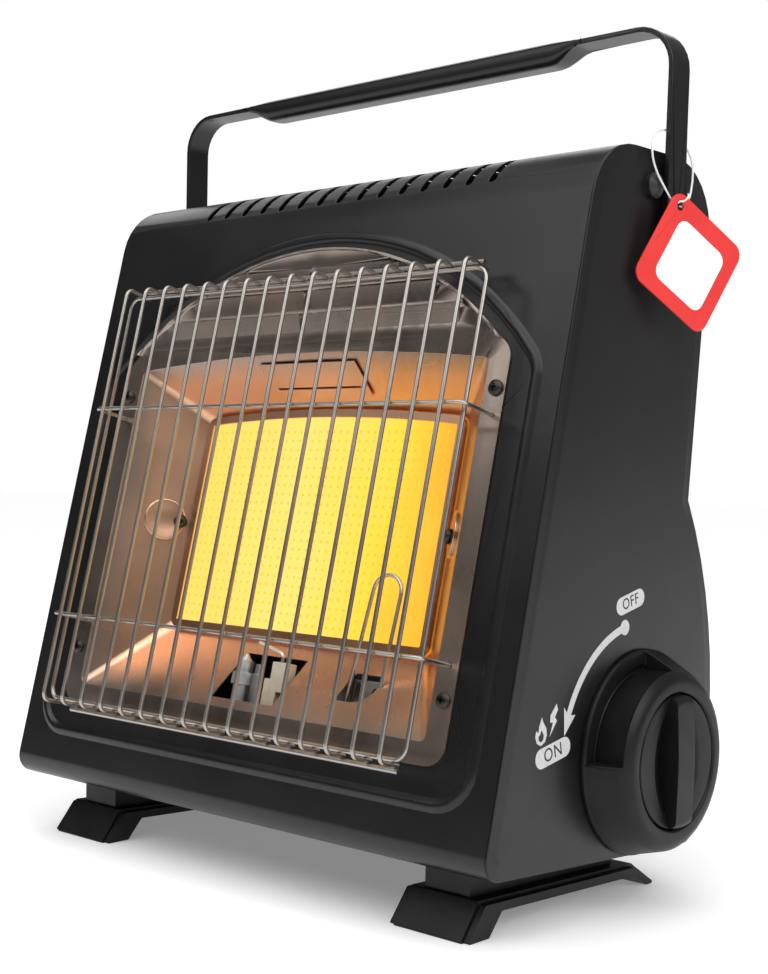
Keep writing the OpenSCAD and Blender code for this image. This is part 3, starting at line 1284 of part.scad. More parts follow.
// The guard sits a little to the left of the middle
guard_shift = -0.6;
top_tail_n = 6.6;
low_tail_n = 9.4;
module guard_place() place() on_front() translate([guard_shift, 0, 0]) children();
module guard_wires() color(steel) guard_place() for (i = [0:wire_n - 1])
    translate([(i - (wire_n - 1) / 2) * wire_pitch, 0, 0]) rotate([90, 0, 90]) flat_wire([
        [guard_s1 - hook_fall, top_tail_n, 0], [guard_s1, guard_n, hook_r],
        [guard_s0, guard_n, hook_r], [guard_s0, low_tail_n, 0]], wire_d / 2);
loop_half = (wire_n - 1) / 2 * wire_pitch + 5;
loop_n = 12.3;
loop_lo = guard_s0 + wire_d + touch;
loop_hi = guard_s1 - hook_fall * (guard_n - loop_n) / (guard_n - top_tail_n) - wire_d - touch;
module guard_loop() color(steel) guard_place() translate([0, 0, loop_n]) closed_wire([
    [-loop_half, loop_lo, loop_r], [loop_half, loop_lo, loop_r],
    [loop_half, loop_hi, loop_r], [-loop_half, loop_hi, loop_r]], wire_d / 2);
rod_low = [guard_s0 - (wire_d + rod_d) / 2 - touch, 10.4, -89, 99];
rod_top = [guard_s1 - hook_fall * 0.72 + (wire_d + rod_d) / 2 + touch, 9.4, -98, 98];
module guard_rods() color(steel) guard_place() for (r = [rod_low, rod_top])
    translate([r[2], r[0], r[1]]) rotate([0, 90, 0])
        cylinder(h = r[3] - r[2], r = rod_d / 2, $fn = 24);
cross_n = guard_n - wire_d - touch;
module guard_cross_wires() color(steel) place() on_front() for (s = [cross_s0, cross_s1])
    translate([0, s, 0]) rotate([90, 0, 0])
        flat_wire([[-screw_x, -2.5, 0], [-screw_x, cross_n, 3], [screw_x, cross_n, 3],
            [screw_x, -2.5, 0]], wire_d / 2);

front_shell();
rear_shell();
base_pan();
side_panel_right();
side_panel_left();
casing_screws();
foot_right();
foot_left();
foot_screws();
reflector();
reflector_screws();
ceiling_plate();
heat_shield();
burner_housing();
ceramic_plaque();
plaque_gasket();
burner_frame();
burner_screws();
venturi_tube();
injector();
guard_wires();
guard_loop();
guard_rods();
guard_cross_wires();
pilot_bracket();
pilot_burner();
thermocouple();
electrode();
electrode_ceramic();
flame_wire();
valve_bracket();
gas_valve();
valve_nut();
regulator();
cartridge_collar();
cartridge_cradle();
cartridge_spring();
gas_pipe();
pilot_pipe();
piezo_igniter();
ignition_lead();
knob_bezel();
bezel_screws();
handle_rivets();
handle_stops();
handle();
spindle();
knob();
knob_spring();
cartridge_door();
door_hinge_pin();
door_magnets();
door_strike();
hang_tag();
tag_string();
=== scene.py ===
# %% [markdown]
# # A portable gas heater
# A leaning box of black enamelled sheet with a glowing ceramic burner behind a wire guard, a
# control knob on its right side and a strap handle that folds back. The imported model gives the
# frame and its solids. They could be drawn again from nothing, but every piece below is made in
# metres in that same frame instead, so nothing has to be fitted afterwards.

# %% Load the frame
import json
import math

import bmesh
import bpy
from mathutils import Matrix, Vector
from mathutils.geometry import delaunay_2d_cdt


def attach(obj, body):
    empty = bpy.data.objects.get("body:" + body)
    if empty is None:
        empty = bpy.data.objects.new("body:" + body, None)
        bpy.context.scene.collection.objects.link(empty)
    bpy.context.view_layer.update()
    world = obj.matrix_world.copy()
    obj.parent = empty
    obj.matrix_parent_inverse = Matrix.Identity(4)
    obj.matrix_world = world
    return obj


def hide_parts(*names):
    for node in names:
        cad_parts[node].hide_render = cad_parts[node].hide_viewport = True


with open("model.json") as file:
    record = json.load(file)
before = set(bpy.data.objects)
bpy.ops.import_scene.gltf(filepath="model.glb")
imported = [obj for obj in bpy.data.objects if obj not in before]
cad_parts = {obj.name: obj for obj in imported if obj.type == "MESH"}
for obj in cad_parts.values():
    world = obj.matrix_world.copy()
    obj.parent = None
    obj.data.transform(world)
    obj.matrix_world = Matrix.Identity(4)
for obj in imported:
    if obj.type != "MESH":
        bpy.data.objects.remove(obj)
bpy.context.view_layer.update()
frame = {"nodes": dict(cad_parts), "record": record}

# %% [markdown]
# The heater was laid out in millimetres with its front plane leaning back from the table. Two
# small helpers turn those plain sizes into places in the frame: `at` for a point of the casing
# and `on_front` for a point given across the front, up the front and out of it.

# %% Places
MM = 0.001
ORIGIN = Vector((6.95, 68.1073, 0.0))
LEAN = math.radians(13.45)
FRONT_Z0 = 23.25


def at(x, y, z):
    return (Vector((x, y, z)) - ORIGIN) * MM


def on_front(x, s, n):
    return at(x, s * math.sin(LEAN) - n * math.cos(LEAN),
              FRONT_Z0 + s * math.cos(LEAN) + n * math.sin(LEAN))


# %% [markdown]
# ## Camera
# The camera stands to the right of the heater at half its height, a little over half a metre
# away, so the perspective is strong: the near corner looks much taller than the far one. It is
# turned 42 degrees, tips down by less than one and rolls by less than one.

# %% Camera
eye = bpy.data.cameras.new("camera")
eye.lens = 57.73
eye.sensor_width = 36.0
eye.clip_start = 0.01
camera = bpy.data.objects.new("camera", eye)
bpy.context.scene.collection.objects.link(camera)
right = Vector((0.741416, 0.670835, 0.016790))
ahead = Vector((-0.670689, 0.741606, -0.014030)).normalized()
right = (right - ahead * right.dot(ahead)).normalized()
up = right.cross(ahead)
turned = Matrix((right, up, -ahead)).transposed().to_4x4()
camera.matrix_world = Matrix.Translation(at(458.5187, -410.0988, 166.6788)) @ turned
bpy.context.scene.camera = camera
print("camera at", [round(v, 4) for v in camera.location])

# %% [markdown]
# ## The tag's string
# A thin white nylon string goes through the tag's hole and round the handle's right leg. It could
# be simulated, but its loop is short and stiff for its weight. So it is one curve through the same
# points as its solid, smoothed in the same way, and it keeps its true length.

# %% String
STRING_R = 0.4
STRING_ROUTE = [
    (142.4, 101.9, 266.2), (141.8, 101, 267), (141, 99.3, 269.2), (140.4, 95.9, 273),
    (139.3, 92.5, 278), (138.6, 90.4, 283.5), (138, 91, 289), (137, 94.6, 293.2),
    (136.3, 100, 295.6), (136.2, 106, 296), (136.4, 111.4, 294.6), (137.4, 115.2, 291.6),
    (139, 116.2, 288), (140.6, 115.4, 284), (142.2, 113, 279.4), (143.4, 110.4, 274.8),
    (144, 108.2, 270.8), (143.5, 106.4, 267.8), (143, 104.2, 266.5), (142.7, 102.9, 266.4)]


def spline(points, steps):
    """A smooth line through the points, with a few steps between each two."""
    p = [Vector(q) for q in points]
    line = []
    for i in range(len(p) - 1):
        a, b, c, d = p[max(i - 1, 0)], p[i], p[i + 1], p[min(i + 2, len(p) - 1)]
        for k in range(steps):
            t = k / steps
            line.append(0.5 * (2 * b + (c - a) * t + (2 * a - 5 * b + 4 * c - d) * t * t
                               + (3 * b - 3 * c + d - a) * t ** 3))
    return line + [p[-1]]


string_line = [at(*p) for p in spline(STRING_ROUTE, 4)]
thread = bpy.data.curves.new("tag_thread", "CURVE")
thread.dimensions = "3D"
thread.bevel_depth = 1.0
thread.bevel_resolution = 3
run = thread.splines.new("POLY")
run.points.add(len(string_line) - 1)
for knot, p in zip(run.points, string_line):
    knot.co = (*p, 1)
    knot.radius = STRING_R * MM
tag_thread = bpy.data.objects.new("tag_thread", thread)
bpy.context.scene.collection.objects.link(tag_thread)
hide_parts("tag_string")
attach(tag_thread, "handle")

# %% [markdown]
# ## Finishes
# Each finish is a small node tree on a Principled shader. Colour, roughness and a fine bump come
# from noise in object coordinates, so a pattern stays put when the handle folds or the view
# turns. Values that are the same everywhere sit on the shader's own sockets.


# %% Finish helpers
def finish(name, colour, roughness, metallic=0.0, **sockets):
    material = bpy.data.materials.new(name)
    material.use_nodes = True
    shader = material.node_tree.nodes["Principled BSDF"]
    shader.inputs["Base Color"].default_value = (*colour, 1)
    shader.inputs["Roughness"].default_value = roughness
    shader.inputs["Metallic"].default_value = metallic
    for socket, value in sockets.items():
        shader.inputs[socket.replace("_", " ")].default_value = value
    material.diffuse_color = (*colour, 1)
    return material


def add(material, kind, **settings):
    node = material.node_tree.nodes.new(kind)
    for key, value in settings.items():
        if hasattr(node, key):
            setattr(node, key, value)
        else:
            node.inputs[key.replace("_", " ")].default_value = value
    return node


def join(material, source, output, target, socket):
    material.node_tree.links.new(source.outputs[output], target.inputs[socket])


def grain(material, scale, depth, detail=3.0, stretch=None, turn=None):
    """A fine bump; stretch makes it into brush lines."""
    place = add(material, "ShaderNodeTexCoord")
    noise = add(material, "ShaderNodeTexNoise", Scale=scale, Detail=detail)
    if stretch:
        mapping = add(material, "ShaderNodeMapping", Scale=stretch)
        if turn:
            mapping.inputs["Rotation"].default_value = turn
        join(material, place, "Object", mapping, "Vector")
        join(material, mapping, "Vector", noise, "Vector")
    else:
        join(material, place, "Object", noise, "Vector")
    bump = add(material, "ShaderNodeBump", Distance=depth)
    bump.inputs["Strength"].default_value = 1.0
    join(material, noise, "Fac", bump, "Height")
    shader = material.node_tree.nodes["Principled BSDF"]
    join(material, bump, "Normal", shader, "Normal")
    return noise


def mottle(material, scale, low, high):
    """The roughness wanders between low and high."""
    place = add(material, "ShaderNodeTexCoord")
    noise = add(material, "ShaderNodeTexNoise", Scale=scale, Detail=4.0)
    join(material, place, "Object", noise, "Vector")
    spread = add(material, "ShaderNodeMapRange", From_Min=0.3, From_Max=0.7, To_Min=low,
                 To_Max=high)
    join(material, noise, "Fac", spread, "Value")
    shader = material.node_tree.nodes["Principled BSDF"]
    join(material, spread, "Result", shader, "Roughness")


def tint(material, scale, low, high, detail=3.0):
    """The colour wanders between two tones, in patches."""
    place = add(material, "ShaderNodeTexCoord")
    noise = add(material, "ShaderNodeTexNoise", Scale=scale, Detail=detail)
    ramp = add(material, "ShaderNodeValToRGB")
    ramp.color_ramp.elements[0].position = 0.34
    ramp.color_ramp.elements[1].position = 0.66
    ramp.color_ramp.elements[0].color = (*low, 1)
    ramp.color_ramp.elements[1].color = (*high, 1)
    join(material, place, "Object", noise, "Vector")
    join(material, noise, "Fac", ramp, "Fac")
    join(material, ramp, "Color", material.node_tree.nodes["Principled BSDF"], "Base Color")


print("helpers: finish, add, join, grain, mottle, tint")

# %% [markdown]
# Black enamel covers the casing, the door and the handle: a smooth satin coat with a very faint
# orange peel. The feet, the knob and its bezel are moulded plastic, duller and a little grainy. One
# plain black could serve both, but it would look like one material, so they differ in how rough
# they are, in the size of their grain and in how strongly they shine.

# %% Black finishes
black_enamel = finish("black_enamel", (0.005, 0.0047, 0.005), 0.36, Specular_IOR_Level=0.42)
tint(black_enamel, 40, (0.0042, 0.0038, 0.0042), (0.006, 0.0056, 0.006))
mottle(black_enamel, 24, 0.30, 0.37)
grain(black_enamel, 900, 0.00002, detail=2.0)
moulded_black = finish("moulded_black", (0.006, 0.0058, 0.006), 0.42, Specular_IOR_Level=0.26)
tint(moulded_black, 90, (0.005, 0.0048, 0.005), (0.0075, 0.0072, 0.0075))
mottle(moulded_black, 60, 0.36, 0.46)
grain(moulded_black, 2200, 0.00003, detail=2.0)
black_rubber = finish("black_rubber", (0.009, 0.009, 0.009), 0.36)
mottle(black_rubber, 120, 0.34, 0.5)
grain(black_rubber, 1500, 0.00003)
dark_screw = finish("dark_screw", (0.05, 0.045, 0.042), 0.3, metallic=0.85)
mottle(dark_screw, 300, 0.24, 0.4)
grain(dark_screw, 1200, 0.00002)
print("black finishes:", black_enamel.name, moulded_black.name, black_rubber.name, dark_screw.name)

# %% [markdown]
# The reflector is bright rolled steel with fine lines across it. Its colour holds a painted
# reflection of the burner's glow: in patches, it turns from a dull grey-brown at the front to a
# bright straw and orange deep towards the burner. A ramp over the depth behind the front does it by
# rule and stays right on every fold. The guard is smooth chromed wire. The hidden sheet is
# galvanised, and the gas parts are brass and copper.

# %% Bright steel
STEEL_AHEAD, STEEL_BEHIND = 0.4, -12.0
bright_steel = finish("bright_steel", (0.74, 0.68, 0.62), 0.24, metallic=1.0)
mottle(bright_steel, 18, 0.22, 0.36)
grain(bright_steel, 60, 0.000014, stretch=(0.15, 30, 30), turn=(math.pi / 2 - LEAN, 0, 0))
FACE_OUT = (0, -math.cos(LEAN), math.sin(LEAN))


def by_depth(material, ahead_n, behind_n):
    """From 0 at one distance out of the front to 1 at another, from object coordinates."""
    place = add(material, "ShaderNodeTexCoord")
    out = add(material, "ShaderNodeVectorMath", operation="DOT_PRODUCT")
    out.inputs[1].default_value = FACE_OUT
    join(material, place, "Object", out, 0)
    spread = add(material, "ShaderNodeMapRange",
                 From_Min=on_front(0, 0, ahead_n).dot(Vector(FACE_OUT)),
                 From_Max=on_front(0, 0, behind_n).dot(Vector(FACE_OUT)))
    join(material, out, "Value", spread, "Value")
    return spread


# Painted glow: the steel's colour grows brighter and more orange deeper behind the front, towards
# the burner.
glow_depth = by_depth(bright_steel, STEEL_AHEAD, STEEL_BEHIND)
bloom = add(bright_steel, "ShaderNodeTexNoise", Scale=34.0, Detail=4.0)
blotch = add(bright_steel, "ShaderNodeTexCoord")
join(bright_steel, blotch, "Object", bloom, "Vector")
drift = add(bright_steel, "ShaderNodeMath", operation="MULTIPLY_ADD")
drift.inputs[1].default_value = 0.5
join(bright_steel, bloom, "Fac", drift, 0)
join(bright_steel, glow_depth, "Result", drift, 2)
painted_glow_tint = add(bright_steel, "ShaderNodeValToRGB")
painted_glow_tint.color_ramp.elements[0].position = 0.2
painted_glow_tint.color_ramp.elements[0].color = (0.36, 0.31, 0.275, 1)
painted_glow_tint.color_ramp.elements[1].position = 1.0
painted_glow_tint.color_ramp.elements[1].color = (0.70, 0.42, 0.27, 1)
painted_glow_middle = painted_glow_tint.color_ramp.elements.new(0.6)
painted_glow_middle.color = (0.54, 0.37, 0.27, 1)
join(bright_steel, drift, "Value", painted_glow_tint, "Fac")
join(bright_steel, painted_glow_tint, "Color", bright_steel.node_tree.nodes["Principled BSDF"],
     "Base Color")
print("bright steel:", len(bright_steel.node_tree.nodes), "nodes")

# %% [markdown]
# The other metals are plain, so noise in their roughness does most of the work: a metal's colour
# hardly changes, but its shine does. Galvanised sheet also has the pale and dark flakes of zinc.

# %% Other metals
chromed_wire = finish("chromed_wire", (0.4, 0.375, 0.35), 0.3, metallic=1.0)
mottle(chromed_wire, 14, 0.27, 0.34)
plain_steel = finish("plain_steel", (0.5, 0.49, 0.47), 0.3, metallic=1.0)
mottle(plain_steel, 40, 0.24, 0.38)
grain(plain_steel, 900, 0.00001)
galvanised = finish("galvanised", (0.48, 0.5, 0.51), 0.42, metallic=0.9)
tint(galvanised, 220, (0.4, 0.42, 0.43), (0.56, 0.58, 0.59), detail=1.0)
mottle(galvanised, 160, 0.3, 0.5)
brass = finish("brass", (0.62, 0.42, 0.16), 0.28, metallic=1.0)
mottle(brass, 60, 0.22, 0.36)
grain(brass, 900, 0.00001)
copper = finish("copper", (0.62, 0.3, 0.17), 0.3, metallic=1.0)
mottle(copper, 60, 0.24, 0.4)
grain(copper, 900, 0.00001)
print("metals:", chromed_wire.name, plain_steel.name, galvanised.name, brass.name, copper.name)

# %% [markdown]
# The ceramic plaque glows, so it is its own light. Its face is bright yellow and turns to orange
# to the right and down in its burner holes. A lamp behind it could light it, but emission also
# lights the reflector round it. Its colours come from object coordinates: how far a point lies
# behind the face, and how far to the right.

# %% Glowing ceramic
PLAQUE_N = 22.5
GLOW_LEFT, GLOW_RIGHT = -0.079, 0.065
GLOW_STRENGTH = 1.25
glow = finish("glowing_ceramic", (0.18, 0.09, 0.02), 0.8)
place = add(glow, "ShaderNodeTexCoord")
deep = by_depth(glow, -PLAQUE_N - 0.1, -PLAQUE_N - 0.9)
split = add(glow, "ShaderNodeSeparateXYZ")
join(glow, place, "Object", split, "Vector")
across = add(glow, "ShaderNodeValToRGB")
across.color_ramp.elements[0].position = 0.0
across.color_ramp.elements[0].color = (0.95, 0.55, 0.085, 1)
across.color_ramp.elements[1].position = 1.0
across.color_ramp.elements[1].color = (0.75, 0.34, 0.012, 1)
middle = across.color_ramp.elements.new(0.45)
middle.color = (1.0, 0.62, 0.14, 1)
later = across.color_ramp.elements.new(0.78)
later.color = (0.98, 0.56, 0.035, 1)
spread_x = add(glow, "ShaderNodeMapRange", From_Min=GLOW_LEFT, From_Max=GLOW_RIGHT)
join(glow, split, "X", spread_x, "Value")
CLOUD = 0.34
cloud = add(glow, "ShaderNodeTexNoise", Scale=22.0, Detail=2.0)
join(glow, place, "Object", cloud, "Vector")
sway = add(glow, "ShaderNodeMath", operation="MULTIPLY_ADD")
sway.inputs[1].default_value = CLOUD
join(glow, cloud, "Fac", sway, 0)
join(glow, spread_x, "Result", sway, 2)
lower = add(glow, "ShaderNodeMath", operation="SUBTRACT")
lower.inputs[1].default_value = CLOUD / 2
join(glow, sway, "Value", lower, 0)
join(glow, lower, "Value", across, "Fac")
holes = add(glow, "ShaderNodeMix", data_type="RGBA")
join(glow, deep, "Result", holes, 0)
join(glow, across, "Color", holes, 6)
holes.inputs[7].default_value = (0.92, 0.46, 0.025, 1)
glow_shader = glow.node_tree.nodes["Principled BSDF"]
join(glow, holes, 2, glow_shader, "Emission Color")
glow_shader.inputs["Emission Strength"].default_value = GLOW_STRENGTH
print("glowing ceramic:", len(glow.node_tree.nodes), "nodes")

# %% [markdown]
# Cream ceramic insulates the spark electrode. The tag is red coated card on a white nylon string,
# and the marks round the knob are printed in white. Flat colours would do from afar, but a slight
# drift of tone and a fine bump keep them from looking like cut paper close by.

# %% Ceramic, card and string
white_ceramic = finish("white_ceramic", (0.5, 0.43, 0.34), 0.5)
tint(white_ceramic, 150, (0.42, 0.36, 0.28), (0.56, 0.49, 0.39))
grain(white_ceramic, 800, 0.00003)
tag_red = finish("tag_red", (0.74, 0.036, 0.034), 0.35)
tint(tag_red, 60, (0.70, 0.034, 0.032), (0.78, 0.04, 0.037))
grain(tag_red, 1500, 0.00001)
white_nylon = finish("white_nylon", (0.8, 0.8, 0.8), 0.3)
grain(white_nylon, 2500, 0.00003)
white_ink = finish("white_ink", (0.6, 0.59, 0.6), 0.5)
tint(white_ink, 900, (0.56, 0.55, 0.56), (0.63, 0.62, 0.63))
grain(white_ink, 1500, 0.00001)
tag_white = finish("tag_white", (0.9, 0.9, 0.9), 0.4)
tint(tag_white, 900, (0.87, 0.87, 0.87), (0.92, 0.92, 0.92))
grain(tag_white, 1500, 0.00001)
black_ink = finish("black_ink", (0.02, 0.02, 0.02), 0.5)
grain(black_ink, 1500, 0.00001)
tag_thread.data.materials.append(white_nylon)
print("card and ink:", tag_red.name, tag_white.name, white_ink.name, black_ink.name)

# %% [markdown]
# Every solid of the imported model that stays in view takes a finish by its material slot. It could
# be given one by one, but the slots already say what each piece is made of.

# %% Dress the solids
FINISH_OF = {
    "casing_paint": black_enamel, "black_plastic": moulded_black, "rubber": black_rubber,
    "polished_steel": bright_steel, "steel": plain_steel, "galvanised": galvanised,
    "dark_screw": dark_screw, "ceramic": glow, "white_ceramic": white_ceramic, "brass": brass,
    "copper": copper, "tag_card": tag_red, "string": white_nylon}
SLOT_OF = {part["node"]: part["material_slot"] for part in frame["record"]["subparts"]}
BODY_OF = {node: body for body, nodes in frame["record"]["behaviour"]["bodies"].items()
           for node in nodes}
for node, slot in SLOT_OF.items():
    solid = frame["nodes"][node]
    solid.data.materials.clear()
    solid.data.materials.append(FINISH_OF[slot])
print("dressed", len(SLOT_OF), "solids")

# %% [markdown]
# ## Soft edges
# A pressed sheet or a moulded cap has no sharp corner: every edge catches a thin line of light.
# Such edges could be modelled in the solids, but they would cost many faces there. A solid's own
# mesh is loose triangles, so its copy is merged, its flat facets are joined, its curves are shaded
# smooth, and a bevel of a few tenths of a millimetre breaks its edges. Weighted normals keep the
# flat faces flat beside it. The copy stands for the solid and rides with it.


# %% Edge helper
def settle(piece, *nodes, body=None, slot=None):
    """The piece stands for the nodes and rides with them."""
    if nodes:
        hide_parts(*nodes)
        body, slot = body or BODY_OF[nodes[0]], slot or SLOT_OF[nodes[0]]
    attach(piece, body)
    return piece


def new_piece(name, mesh):
    piece = bpy.data.objects.new(name, mesh)
    bpy.context.scene.collection.objects.link(piece)
    return piece


def soften(node, width):
    """A copy of the solid with its edges broken by the width, in millimetres."""
    solid = frame["nodes"][node]
    shape = bmesh.new()
    shape.from_mesh(solid.data)
    bmesh.ops.remove_doubles(shape, verts=shape.verts, dist=2e-6)
    bmesh.ops.dissolve_limit(shape, angle_limit=math.radians(0.3), verts=shape.verts,
                             edges=shape.edges)
    bmesh.ops.triangulate(shape, faces=[f for f in shape.faces if len(f.verts) > 4])
    mesh = bpy.data.meshes.new(node + "_skin")
    shape.to_mesh(mesh)
    shape.free()
    mesh.shade_smooth()
    mesh.set_sharp_from_angle(angle=CORNER)
    mesh.materials.append(solid.data.materials[0])
    piece = new_piece(node + "_skin", mesh)
    if width:
        bevel = piece.modifiers.new("broken_edges", "BEVEL")
        bevel.width = width * MM
        bevel.segments = 2
        bevel.limit_method = "ANGLE"
        bevel.angle_limit = CORNER
        bevel.use_clamp_overlap = node in CLAMPED
    weigh = piece.modifiers.new("flat_faces_stay_flat", "WEIGHTED_NORMAL")
    weigh.mode = "FACE_AREA"
    weigh.weight = 90
    weigh.keep_sharp = True
    return settle(piece, node)


print("helpers: settle, new_piece, soften")

# %% [markdown]
# Each width is what such an edge has: a rolled sheet a quarter of a millimetre, a moulded foot
# more. The side panels and the reflector have their edges in the solid, so they are only smoothed.
# On the feet and the knob a bevel could run past its neighbours, so it is clamped there.

# %% Softened pieces
CORNER = math.radians(32)
CLAMPED = ("foot_right", "foot_left", "knob")
SOFT_EDGES = {
    "front_shell": 0.25, "rear_shell": 0.2, "side_panel_right": 0, "side_panel_left": 0,
    "cartridge_door": 0.25, "handle": 0.35, "knob": 0.5, "knob_bezel": 0.35, "foot_right": 0.6,
    "foot_left": 0.6, "handle_stops": 0, "handle_rivets": 0.2, "burner_frame": 0.15,
    "reflector": 0, "base_pan": 0.2, "pilot_burner": 0.1, "electrode_ceramic": 0.3,
    "pilot_bracket": 0.15, "ceiling_plate": 0.15, "spindle": 0.2, "thermocouple": 0.1,
    "casing_screws": 0.1, "foot_screws": 0.1, "bezel_screws": 0.1}
for node, width in SOFT_EDGES.items():
    piece = soften(node, width)
    print(f"{node:18} {len(piece.data.polygons):6} faces")

# %% [markdown]
# ## Wires
# The guard is sixteen wires bent at both ends, a closed loop behind them, two rods under and
# over the ends, and two cross wires that hold it to the flange. Each could be a curve with a bevel,
# set out by hand. But a wire is only a path with rounded corners and a round section, so one
# Geometry Nodes tree makes them all: it turns the edges of a plain mesh into curves, fillets the
# corners and sweeps a circle along them. These helpers build a tree and read its result.


# %% Tree helpers
def tree_of(name, sockets):
    """An empty tree with a geometry socket each way and named inputs."""
    tree = bpy.data.node_groups.new(name, "GeometryNodeTree")
    tree.interface.new_socket("Geometry", in_out="OUTPUT", socket_type="NodeSocketGeometry")
    tree.interface.new_socket("Geometry", in_out="INPUT", socket_type="NodeSocketGeometry")
    for label, kind in sockets.items():
        tree.interface.new_socket(label, in_out="INPUT", socket_type="NodeSocket" + kind)
    return tree, tree.nodes.new("NodeGroupInput"), tree.nodes.new("NodeGroupOutput")


def wire_up(tree, *links):
    for source, output, target, socket in links:
        tree.links.new(source.outputs[output], target.inputs[socket])


def grow(name, start, tree, **values):
    """The tree's result as a plain mesh."""
    holder = new_piece(name + "_start", start)
    modifier = holder.modifiers.new("grow", "NODES")
    modifier.node_group = tree
    for item in tree.interface.items_tree:
        label = item.name.replace(" ", "_")
        if item.in_out == "INPUT" and label in values:
            modifier[item.identifier] = values[label]
    graph = bpy.context.evaluated_depsgraph_get()
    graph.update()
    mesh = bpy.data.meshes.new_from_object(holder.evaluated_get(graph))
    mesh.name = name
    bpy.data.objects.remove(holder)
    return mesh


def front_matrix():
    """From millimetres across, up and out of the front to the frame."""
    columns = (Vector((1, 0, 0)), Vector((0, math.sin(LEAN), math.cos(LEAN))), Vector(FACE_OUT))
    turn = Matrix(columns).transposed().to_4x4()
    return Matrix.Translation(on_front(0, 0, 0)) @ turn @ Matrix.Scale(MM, 4)


FRONT = front_matrix()
print("helpers: tree_of, wire_up, grow, front_matrix")

# %% [markdown]
# This tree holds everything that all the wires share. The bend's radius, the wire's radius, the
# steps and the finish are its named inputs, so each wire only brings its own path.

# %% Wire tree
wire_tree, given, result = tree_of("bent_wire", {
    "Bend": "Float", "Radius": "Float", "Sides": "Int", "Bend Steps": "Int",
    "Finish": "Material"})
to_curve = wire_tree.nodes.new("GeometryNodeMeshToCurve")
fillet = wire_tree.nodes.new("GeometryNodeFilletCurve")
fillet.mode = "POLY"
fillet.inputs["Limit Radius"].default_value = True
circle = wire_tree.nodes.new("GeometryNodeCurvePrimitiveCircle")
sweep = wire_tree.nodes.new("GeometryNodeCurveToMesh")
sweep.inputs["Fill Caps"].default_value = True
smooth = wire_tree.nodes.new("GeometryNodeSetShadeSmooth")
real = wire_tree.nodes.new("GeometryNodeRealizeInstances")
paint = wire_tree.nodes.new("GeometryNodeSetMaterial")
wire_up(wire_tree,
        (given, "Geometry", to_curve, "Mesh"), (to_curve, "Curve", fillet, "Curve"),
        (given, "Bend", fillet, "Radius"), (given, "Bend Steps", fillet, "Count"),
        (fillet, "Curve", sweep, "Curve"), (given, "Sides", circle, "Resolution"),
        (given, "Radius", circle, "Radius"), (circle, "Curve", sweep, "Profile Curve"),
        (sweep, "Mesh", smooth, "Geometry"), (smooth, "Geometry", real, "Geometry"),
        (real, "Geometry", paint, "Geometry"), (given, "Finish", paint, "Material"),
        (paint, "Geometry", result, "Geometry"))


def wires(name, paths, radius, bend, closed=False, material=None):
    """Wires through corner points given across, up and out of the front."""
    points, edges = [], []
    for path in paths:
        first = len(points)
        points += path
        edges += [(first + i, first + i + 1) for i in range(len(path) - 1)]
        if closed:
            edges.append((first + len(path) - 1, first))
    start = bpy.data.meshes.new(name)
    start.from_pydata(points, edges, [])
    mesh = grow(name, start, wire_tree, Bend=bend, Radius=radius, Sides=WIRE_SIDES,
                Bend_Steps=BEND_STEPS, Finish=material or chromed_wire)
    mesh.transform(FRONT)
    mesh.set_sharp_from_angle(angle=math.radians(50))
    return new_piece(name, mesh)


WIRE_SIDES, BEND_STEPS = 16, 6
print("wire tree:", len(wire_tree.nodes), "nodes")

# %% [markdown]
# The guard's wires differ only in their corner points, given across the front, up it and out of
# it. The ends of the upright wires turn back to the loop, and the cross wires run behind them into
# the flange.

# %% Guard
WIRES, PITCH, SHIFT, WIRE_R, ROD_R = 16, 13.0, -0.6, 0.85, 1.0
GUARD_LOW, GUARD_HIGH, GUARD_OUT = 36.8, 222.0, 20.0
CROSS_HEIGHTS, FLANGE_X = (74.5, 166.8), 105.5
wire_x = [(i - (WIRES - 1) / 2) * PITCH + SHIFT for i in range(WIRES)]
guard_wires = wires("guard_bars", [
    [(x, GUARD_HIGH - 0.9, 6.6), (x, GUARD_HIGH, GUARD_OUT), (x, GUARD_LOW, GUARD_OUT),
     (x, GUARD_LOW, 9.4)] for x in wire_x], WIRE_R, 3.2)
settle(guard_wires, "guard_wires")
loop_x, loop_low, loop_high, loop_n = 102.5, 38.58, 219.7, 12.3
guard_loop = wires("guard_ring", [
    [(SHIFT - loop_x, loop_low, loop_n), (SHIFT + loop_x, loop_low, loop_n),
     (SHIFT + loop_x, loop_high, loop_n), (SHIFT - loop_x, loop_high, loop_n)]],
    WIRE_R, 5.0, closed=True)
settle(guard_loop, "guard_loop")
low_rod, high_rod = (34.87, 10.4), (223.28, 9.4)
guard_rods = wires("guard_bars_across", [
    [(-89 + SHIFT, *low_rod), (99 + SHIFT, *low_rod)],
    [(-98 + SHIFT, *high_rod), (98 + SHIFT, *high_rod)]], ROD_R, 0.0)
settle(guard_rods, "guard_rods")
cross_n = GUARD_OUT - 2 * WIRE_R - 0.08
guard_cross = wires("guard_stays", [
    [(-FLANGE_X, s, -2.5), (-FLANGE_X, s, cross_n), (FLANGE_X, s, cross_n), (FLANGE_X, s, -2.5)]
    for s in CROSS_HEIGHTS], WIRE_R, 3.0)
settle(guard_cross, "guard_cross_wires")
print("guard", sum(len(o.data.polygons) for o in (guard_wires, guard_loop, guard_cross)), "faces")

# %% [markdown]
# Where two wires cross they are spot welded, which leaves a small squashed bead. Thirty-two beads
# could be copied by hand, but a tree that puts a ball on each crossing point follows the wires.

